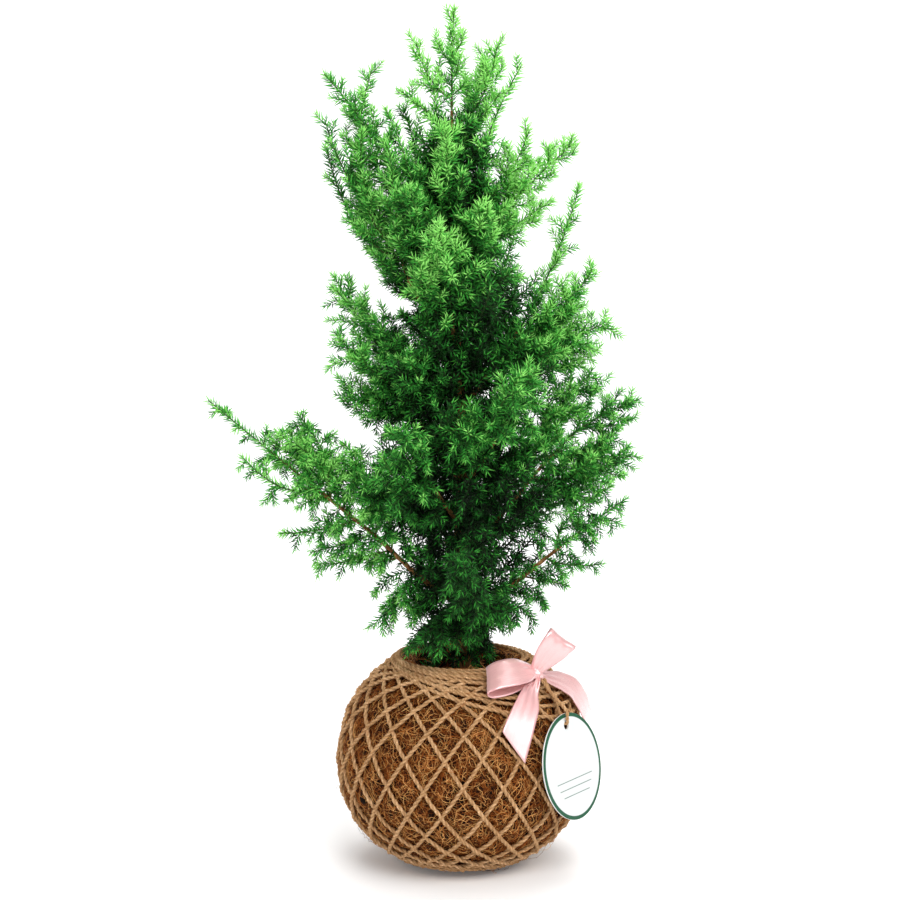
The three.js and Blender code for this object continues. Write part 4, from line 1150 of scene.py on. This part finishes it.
# The dense part's own width to the left, to the right and in depth, by height, which the inner sprays fill
bulk = ((100, 29, 18, 26), (128, 31, 27, 36), (156, 43, 46, 52), (184, 62, 62, 60), (212, 50, 42, 60),
        (240, 52, 58, 56), (269, 46, 56, 52), (297, 42, 28, 46), (325, 40, 26, 40), (353, 22, 16, 26),
        (372, 16, 12, 18), (392, 10, 8, 10), (412, 4, 4, 4))
bulkTop = {"from": 300, "over": 100}  # near the top, height counts like distance from the trunk
inner = {"from": 108, "to": 346, "every": 2.5, "rise": 0.75, "rises": (0.5, 1.4), "turnStray": 0.35,
         "fill": (0.5, 0.9), "reach": 75, "sag": 0.10, "thick": (0.6, 0.4), "bare": 3, "twigs": (20, 7),
         "twigEvery": 4.2, "twigLean": 50, "twigThick": 0.32, "first": 0.1, "bends": 30, "step": 2.0,
         "parts": ((0.3, "inner_low"), (0.62, "inner_middle"), (2, "inner_high"))}
skirt = {"stems": 15, "low": 98, "high": 130, "reach": (10, 26), "leftward": 0.5, "tips": (92, 119),
         "slope": 6, "rise": 7, "turnStray": 0.15, "full": 0.3}
stemShape = {"leadOff": 0.3, "leadBend": 0.4, "outward": 0.85, "onward": 0.5, "off": 1.2, "bend": 0.45,
             "bends": 40, "step": 1.5, "short": 2}


def placeOn(path, along):
    k = min(int(along * (len(path) - 1)), len(path) - 2)
    t = along * (len(path) - 1) - k
    return path[k].lerp(path[k + 1], t), (path[k + 1] - path[k]).normalized()


def stemPath(limb, along, tip):
    leader = limb == "crown" and along == 1
    root, way = placeOn(trunkPath if leader else limbPaths[limb], along)
    tip = mm * Vector(tip)
    chord = tip - root
    if along == 1:
        start = root + way * stemShape["leadOff"] * mm
        bend = start + way * chord.length * stemShape["leadBend"]
    else:
        outward = (chord - way * chord.dot(way)).normalized()
        first = (outward * stemShape["outward"] + way * stemShape["onward"]).normalized()
        start = root + first * stemShape["off"] * mm
        bend = start + first * chord.length * stemShape["bend"]
    stem = resampled(bezier(start, bend, tip, stemShape["bends"]), stemShape["step"] * mm)
    return stem[:-stemShape["short"]]  # its last needles reach the tip


limbPaths["crown"] = trunkPath + stemPath("crown", 1, sprayLines["crown"][0][1])  # the trunk and its leader


def inBox(place):
    spare = growth["spare"] * mm
    return all(low + spare < p < high - spare for low, p, high in zip(cadBox[0], place, cadBox[1]))


def leaned(way, lean, spin):  # a direction that leans off another
    side = (Vector((0.3, 0.2, 1)).cross(way)).normalized()
    other = way.cross(side)
    ray = side * cos(spin) + other * sin(spin)
    return (way * cos(lean) + ray * sin(lean)).normalized()


def bulkAt(place):  # how far out or up a place lies: 0 at the trunk, 1 at the outline
    z = place.z / mm
    for (low, *a), (high, *b) in zip(bulk, bulk[1:]):
        if z <= high:
            t = max(0.0, (z - low) / (high - low))
            left, right, deep = (u + (v - u) * t for u, v in zip(a, b))
            break
    else:
        left, right, deep = bulk[-1][1:]
    wide = left if place.x < 0 else right
    return max((z - bulkTop["from"]) / bulkTop["over"], hypot(place.x / (wide * mm), place.y / (deep * mm)))


class Skeleton:  # stems and twigs, with the painted light and shade, how near a tip, how thick and how bare each of their points is
    def __init__(self, kind):
        self.pale, self.rise, self.needle = foliage[kind]
        self.lines = []
        self.facts = {"shade": [], "tipness": [], "thick": [], "bare": []}

    def add(self, line, thicks, bareTo):
        long = lengthOf(line)
        count = len(line) - 1
        # lit: a random tone for each twig, times painted light, brighter on twigs that point up
        lit = (1 + shading["uneven"] * sin(growth["golden"] * len(self.lines))) * (
            1 + shading["skyward"] * (line[-1] - line[0]).normalized().z)
        for k, place in enumerate(line):
            share = k / count
            # out: painted shade, darker towards the trunk, brighter towards the outline and the top
            out = min(1.0, shading["least"] + shading["most"] * bulkAt(place) ** shading["power"])
            self.facts["shade"].append(self.pale * out * lit)
            self.facts["thick"].append((thicks[0] + (thicks[1] - thicks[0]) * share) * mm)
            self.facts["tipness"].append(max(0.0, 1 - (1 - share) * long / (shading["tip"] * mm)))
            self.facts["bare"].append(1.0 if share * long < bareTo * mm else 0.0)
        self.lines.append(line)

    def mesh(self, name):
        return lineMesh(name, self.lines, self.facts)


def curvedTwig(start, way, long, rise, chance):
    push = Vector((0, 0, rise)) + growth["stray"] * Vector([chance.uniform(-1, 1) for _ in range(3)])
    line = [start]
    steps = max(3, round(long / growth["twigStep"]))
    for _ in range(steps):
        way = (way + push * growth["push"] / steps).normalized()
        line.append(line[-1] + way * (long / steps) * mm)
    return line


def branchOut(skeleton, line, chance, long, every, lean, thick, deeper, first):
    whole = lengthOf(line) / mm
    at = first * whole + chance.uniform(0, every * 0.5)
    turn = chance.uniform(0, 6)
    while at < whole * growth["nearTip"]:
        share = at / whole
        start, way = placeOn(line, share)
        size = (long[0] + (long[1] - long[0]) * share) * chance.uniform(*growth["sizes"])
        turn += growth["golden"] + chance.uniform(-growth["turnStray"], growth["turnStray"])
        stray = chance.uniform(-growth["leanStray"], growth["leanStray"])
        direction = leaned(way, radians(lean + stray), turn)
        while size > growth["shortest"] and not inBox(start + direction * size * mm):
            size *= growth["shrink"]
        twig = curvedTwig(start, direction, size, skeleton.rise, chance)
        skeleton.add(twig, (thick, thick * growth["thinner"]), growth["twigBare"])
        if deeper and size > growth["subFrom"]:
            branchOut(skeleton, twig, chance, (growth["subLong"], growth["subShort"]), growth["subEvery"],
                      growth["subLean"], growth["subThick"], False, growth["subFirst"])
        at += every * chance.uniform(*growth["gaps"])


def sisters(limb, chance):  # more stems between those of the solids
    if limb in ("crown", "right_top"):
        return []
    extra = []
    for along, tip, full in sprayLines[limb]:
        off = Vector([chance.uniform(-1, 1) for _ in range(3)]).normalized() * chance.uniform(*sister["off"])
        root = placeOn(limbPaths[limb], along)[0] / mm
        if full > sister["fullest"]:
            extra.append((max(0.15, along - chance.uniform(*sister["back"])),
                          tuple(root + (Vector(tip) - root) * sister["long"] + off), full * sister["full"]))
    return extra


def limbSprays(limb, chance):
    skeleton = Skeleton(limb)
    for along, tip, full in (*sprayLines[limb], *sisters(limb, chance)):
        stem = stemPath(limb, along, tip)
        skeleton.add(stem, (growth["stemThick"], growth["stemThin"]), growth["stemBare"])
        reach = min(growth["twigLong"], lengthOf(stem) / mm * growth["stemReach"]) * full
        branchOut(skeleton, stem, chance, (max(reach, growth["leastReach"]), growth["twigShort"]),
                  growth["twigEvery"] / max(full, growth["leastFull"]), growth["twigLean"],
                  growth["twigThick"], True, growth["first"])
    inside = trunkPath[-growth["topSteps"]:] if limb == "crown" else limbPaths[limb]
    longest = growth["innerLong"] * (growth["topShare"] if limb == "crown" else 1)
    branchOut(skeleton, inside, chance, (longest, longest * growth["innerShort"]), growth["innerEvery"],
              growth["innerLean"], growth["twigThick"], True, growth["first"])
    return skeleton


def innerStem(skeleton, root, bend, tip, chance, full=1.0):
    stem = resampled(bezier(root, bend, tip, inner["bends"]), inner["step"] * mm)
    skeleton.add(stem, inner["thick"], inner["bare"])
    longest, shortest = inner["twigs"]
    branchOut(skeleton, stem, chance, (longest * full, shortest), inner["twigEvery"], inner["twigLean"],
              inner["twigThick"], full == 1.0, inner["first"])


def innerSprays():  # the middle of the plant, stem by stem up the trunk
    chance = random.Random(5)
    skeletons = {name: Skeleton(name) for name in ("inner_low", "inner_middle", "inner_high", "skirt")}
    height = inner["from"]
    turn = 0.4
    while height < inner["to"]:
        root = trunkAt(height)
        turn += growth["golden"] + chance.uniform(-inner["turnStray"], inner["turnStray"])
        ray = Vector((cos(turn), sin(turn), inner["rise"] * chance.uniform(*inner["rises"])))
        tip = root.copy()
        fill = chance.uniform(*inner["fill"])
        while bulkAt(tip + ray * mm) < fill and (tip - root).length < inner["reach"] * mm:
            tip += ray * mm
        bend = root.lerp(tip, 0.5) + Vector((0, 0, -inner["sag"])) * (tip - root).length
        share = (height - inner["from"]) / (inner["to"] - inner["from"])
        name = next(name for top, name in inner["parts"] if share < top)
        innerStem(skeletons[name], root, bend, tip, chance)
        height += inner["every"] * chance.uniform(*growth["gaps"])
    for k in range(skirt["stems"]):  # the lowest hang over the mouth
        mixed = k * 7 % skirt["stems"]
        root = trunkAt(skirt["low"] + (skirt["high"] - skirt["low"]) * mixed / skirt["stems"])
        azimuth = fullTurn * (k / skirt["stems"]) + chance.uniform(-skirt["turnStray"], skirt["turnStray"])
        reach = chance.uniform(*skirt["reach"]) * (1 - skirt["leftward"] * cos(azimuth)) * mm
        height = chance.uniform(*skirt["tips"]) + skirt["slope"] * cos(azimuth)
        tip = Vector((reach * cos(azimuth), reach * sin(azimuth), height * mm))
        bend = root.lerp(tip, 0.55) + Vector((0, 0, skirt["rise"] * mm))
        innerStem(skeletons["skirt"], root, bend, tip, chance, skirt["full"])
    return skeletons


needle = {"Spacing": 0.335 * mm, "Length": 5.0 * mm, "Width": 0.42 * mm, "Lean": radians(64),
          "Tip Lean": radians(44), "Bend": 0.14, "Widest": 0.3, "Pale Tip": 0.38, "Seed": 0}
innerNeedle = {"Spacing": 1.75, "Width": 1.2}  # as shares of those above
needleStray = {"turn": 137.5, "spin": 0.35, "lean": 0.2, "sizes": (0.75, 1.12), "tipShorter": 0.25,
               "shade": 0.28}


def needleTree(sizes):
    graph, group, points, one, local = conesAlong("awlNeedles", sizes, "TRIANGLE_FAN", 1)
    seed = group["Seed"]

    def either(label, more):  # a stray to either side
        return randomBetween(graph, -needleStray[label], needleStray[label], seed + more if more else seed)

    ring = graph.clamp(local["X"] * local["X"] + local["Y"] * local["Y"], 0.0, 1.0)
    high = local["Z"] + ring * group["Widest"]  # a point at the twig, widest above it, and an awl's tip
    shape = graph.packed(local["X"] * group["Width"],
                         local["Y"] * group["Width"] + high * high * group["Bend"] * group["Length"],
                         high * group["Length"])
    one = moved(graph, store(graph, one, "lengthwise", high), {"Position": shape})
    tipness = attribute(graph, "tipness")
    spin = graph.node("GeometryNodeInputIndex") * radians(needleStray["turn"]) + either("spin", 0)
    lean = group["Lean"] + (group["Tip Lean"] - group["Lean"]) * tipness + either("lean", 1)
    rotation = turned(graph, turned(graph, points["Rotation"], 0, 0, spin), lean, 0, 0)
    size = randomBetween(graph, *needleStray["sizes"], seed + 2) * (1 - needleStray["tipShorter"] * tipness)
    leafy = graph.node("FunctionNodeCompare", {"operation": "LESS_THAN", "data_type": "FLOAT"}, {
        0: attribute(graph, "bare"), 1: 0.5})
    needles = planted(graph, points, one, rotation, size, {"Selection": leafy})
    # the needle's painted shade and light, with its young tip brighter and a random tone
    shade = attribute(graph, "shade") + group["Pale Tip"] * tipness + either("shade", 3)
    needles = realized(graph, marked(graph, needles, "lit", graph.clamp(shade, 0.0, 1.0)))
    needles = mapped(graph, needles, attribute(graph, "lit"), attribute(graph, "lengthwise"))
    return finishTree(graph, needles, needleLook)


twigSizes = {"Sides": 3}
woodyFrom = 0.35 * mm
woodyTo = 0.75 * mm


def twigTree(sizes):
    graph, group = geometryTree("youngTwigs", sizes)
    curve = graph.node("GeometryNodeMeshToCurve", None, {"Mesh": group["Geometry"]})
    thick = attribute(graph, "thick")
    twigs = tubes(graph, curve, group["Sides"], 1.0, {"Scale": thick, "Fill Caps": True})
    woody = graph.clamp(thick, woodyFrom, woodyTo)
    # the twig's painted shade rides in the map's second value
    return finishTree(graph, mapped(graph, twigs, woody, attribute(graph, "shade")), twigLook)


awlNeedles = needleTree(needle)
youngTwigs = twigTree(twigSizes)


def growFoliage(name, skeleton, nodes, seed):
    sizes = {**needle, "Length": skeleton.needle * mm, "Seed": seed}
    if not nodes:
        sizes.update({label: needle[label] * share for label, share in innerNeedle.items()})
    leafy = grow(f"needles_{name}", skeleton.mesh(f"needleLines_{name}"), awlNeedles, sizes)
    woody = grow(f"twigs_{name}", skeleton.mesh(f"twigLines_{name}"), youngTwigs, twigSizes)
    settle(leafy, "needles", *nodes)
    settle(woody, "bark", *nodes)


for number, limb in enumerate(sprayLines):
    nodes = [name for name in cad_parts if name.startswith(f"spray_{limb}_")]
    growFoliage(limb, limbSprays(limb, random.Random(40 + number)), nodes, 10 * number)
for number, (name, skeleton) in enumerate(innerSprays().items()):
    growFoliage(name, skeleton, [], 500 + 10 * number)

# Floor, backdrop and light

studio = {"sky": 0.25, "floorGlow": 0.08, "halfWidth": 4, "front": -3.0, "back": 1.0, "curve": 0.8,
          "top": 4.0}
lamps = {  # place, size, watts, what it is turned to
    "key": ((0.3, -1.1, 1.1), 0.7, 12.5, (0, 0, 0.2)), "overhead": ((0.05, 0.1, 1.7), 1.8, 12, (0, 0, 0.2)),
    "right": ((0.95, -0.65, 0.85), 0.7, 6, (0, 0, 0.1)), "left": ((-1.1, -0.8, 0.6), 1.2, 5, (0, 0, 0.2)),
    "wall": ((0, 0.5, 1.9), 1.2, 24, (0, 1.8, 0.8))}


def makeStage():
    back = studio["back"]
    curve = studio["curve"]
    profile = [(studio["front"], 0.0)]
    profile += [(back + curve * sin(a), curve - curve * cos(a))
                for a in (radians(10 * k) for k in range(10))]
    profile.append((back + curve, studio["top"]))
    points = [Vector((x, y, z)) for y, z in profile for x in (-studio["halfWidth"], studio["halfWidth"])]
    faces = [(k, k + 1, k + 3, k + 2) for k in range(0, 2 * len(profile) - 2, 2)]
    white = Finish("paperWhite", 0.9, 0.1, {
        "Base Color": (0.93, 0.93, 0.93, 1), "Emission Color": (1, 1, 1, 1),
        "Emission Strength": studio["floorGlow"]})
    meshPiece("backdrop", points, faces, [white.material])


def makeLight(name, place, size, power, target):
    light = bpy.data.lights.new(name, "AREA")
    light.size = size
    light.energy = power
    lamp = bpy.data.objects.new(name, light)
    lamp.location = place
    lamp.rotation_euler = (Vector(target) - Vector(place)).to_track_quat("-Z", "Y").to_euler()
    scene.collection.objects.link(lamp)


def makeSky():
    world = bpy.data.worlds.new("studio")
    world.use_nodes = True
    background = world.node_tree.nodes["Background"]
    background.inputs["Color"].default_value = (1, 1, 1, 1)
    background.inputs["Strength"].default_value = studio["sky"]
    scene.world = world


makeStage()
makeSky()
for name, settings in lamps.items():
    makeLight(name, *settings)
scene.view_settings.view_transform = "Standard"
print("stage and light made")
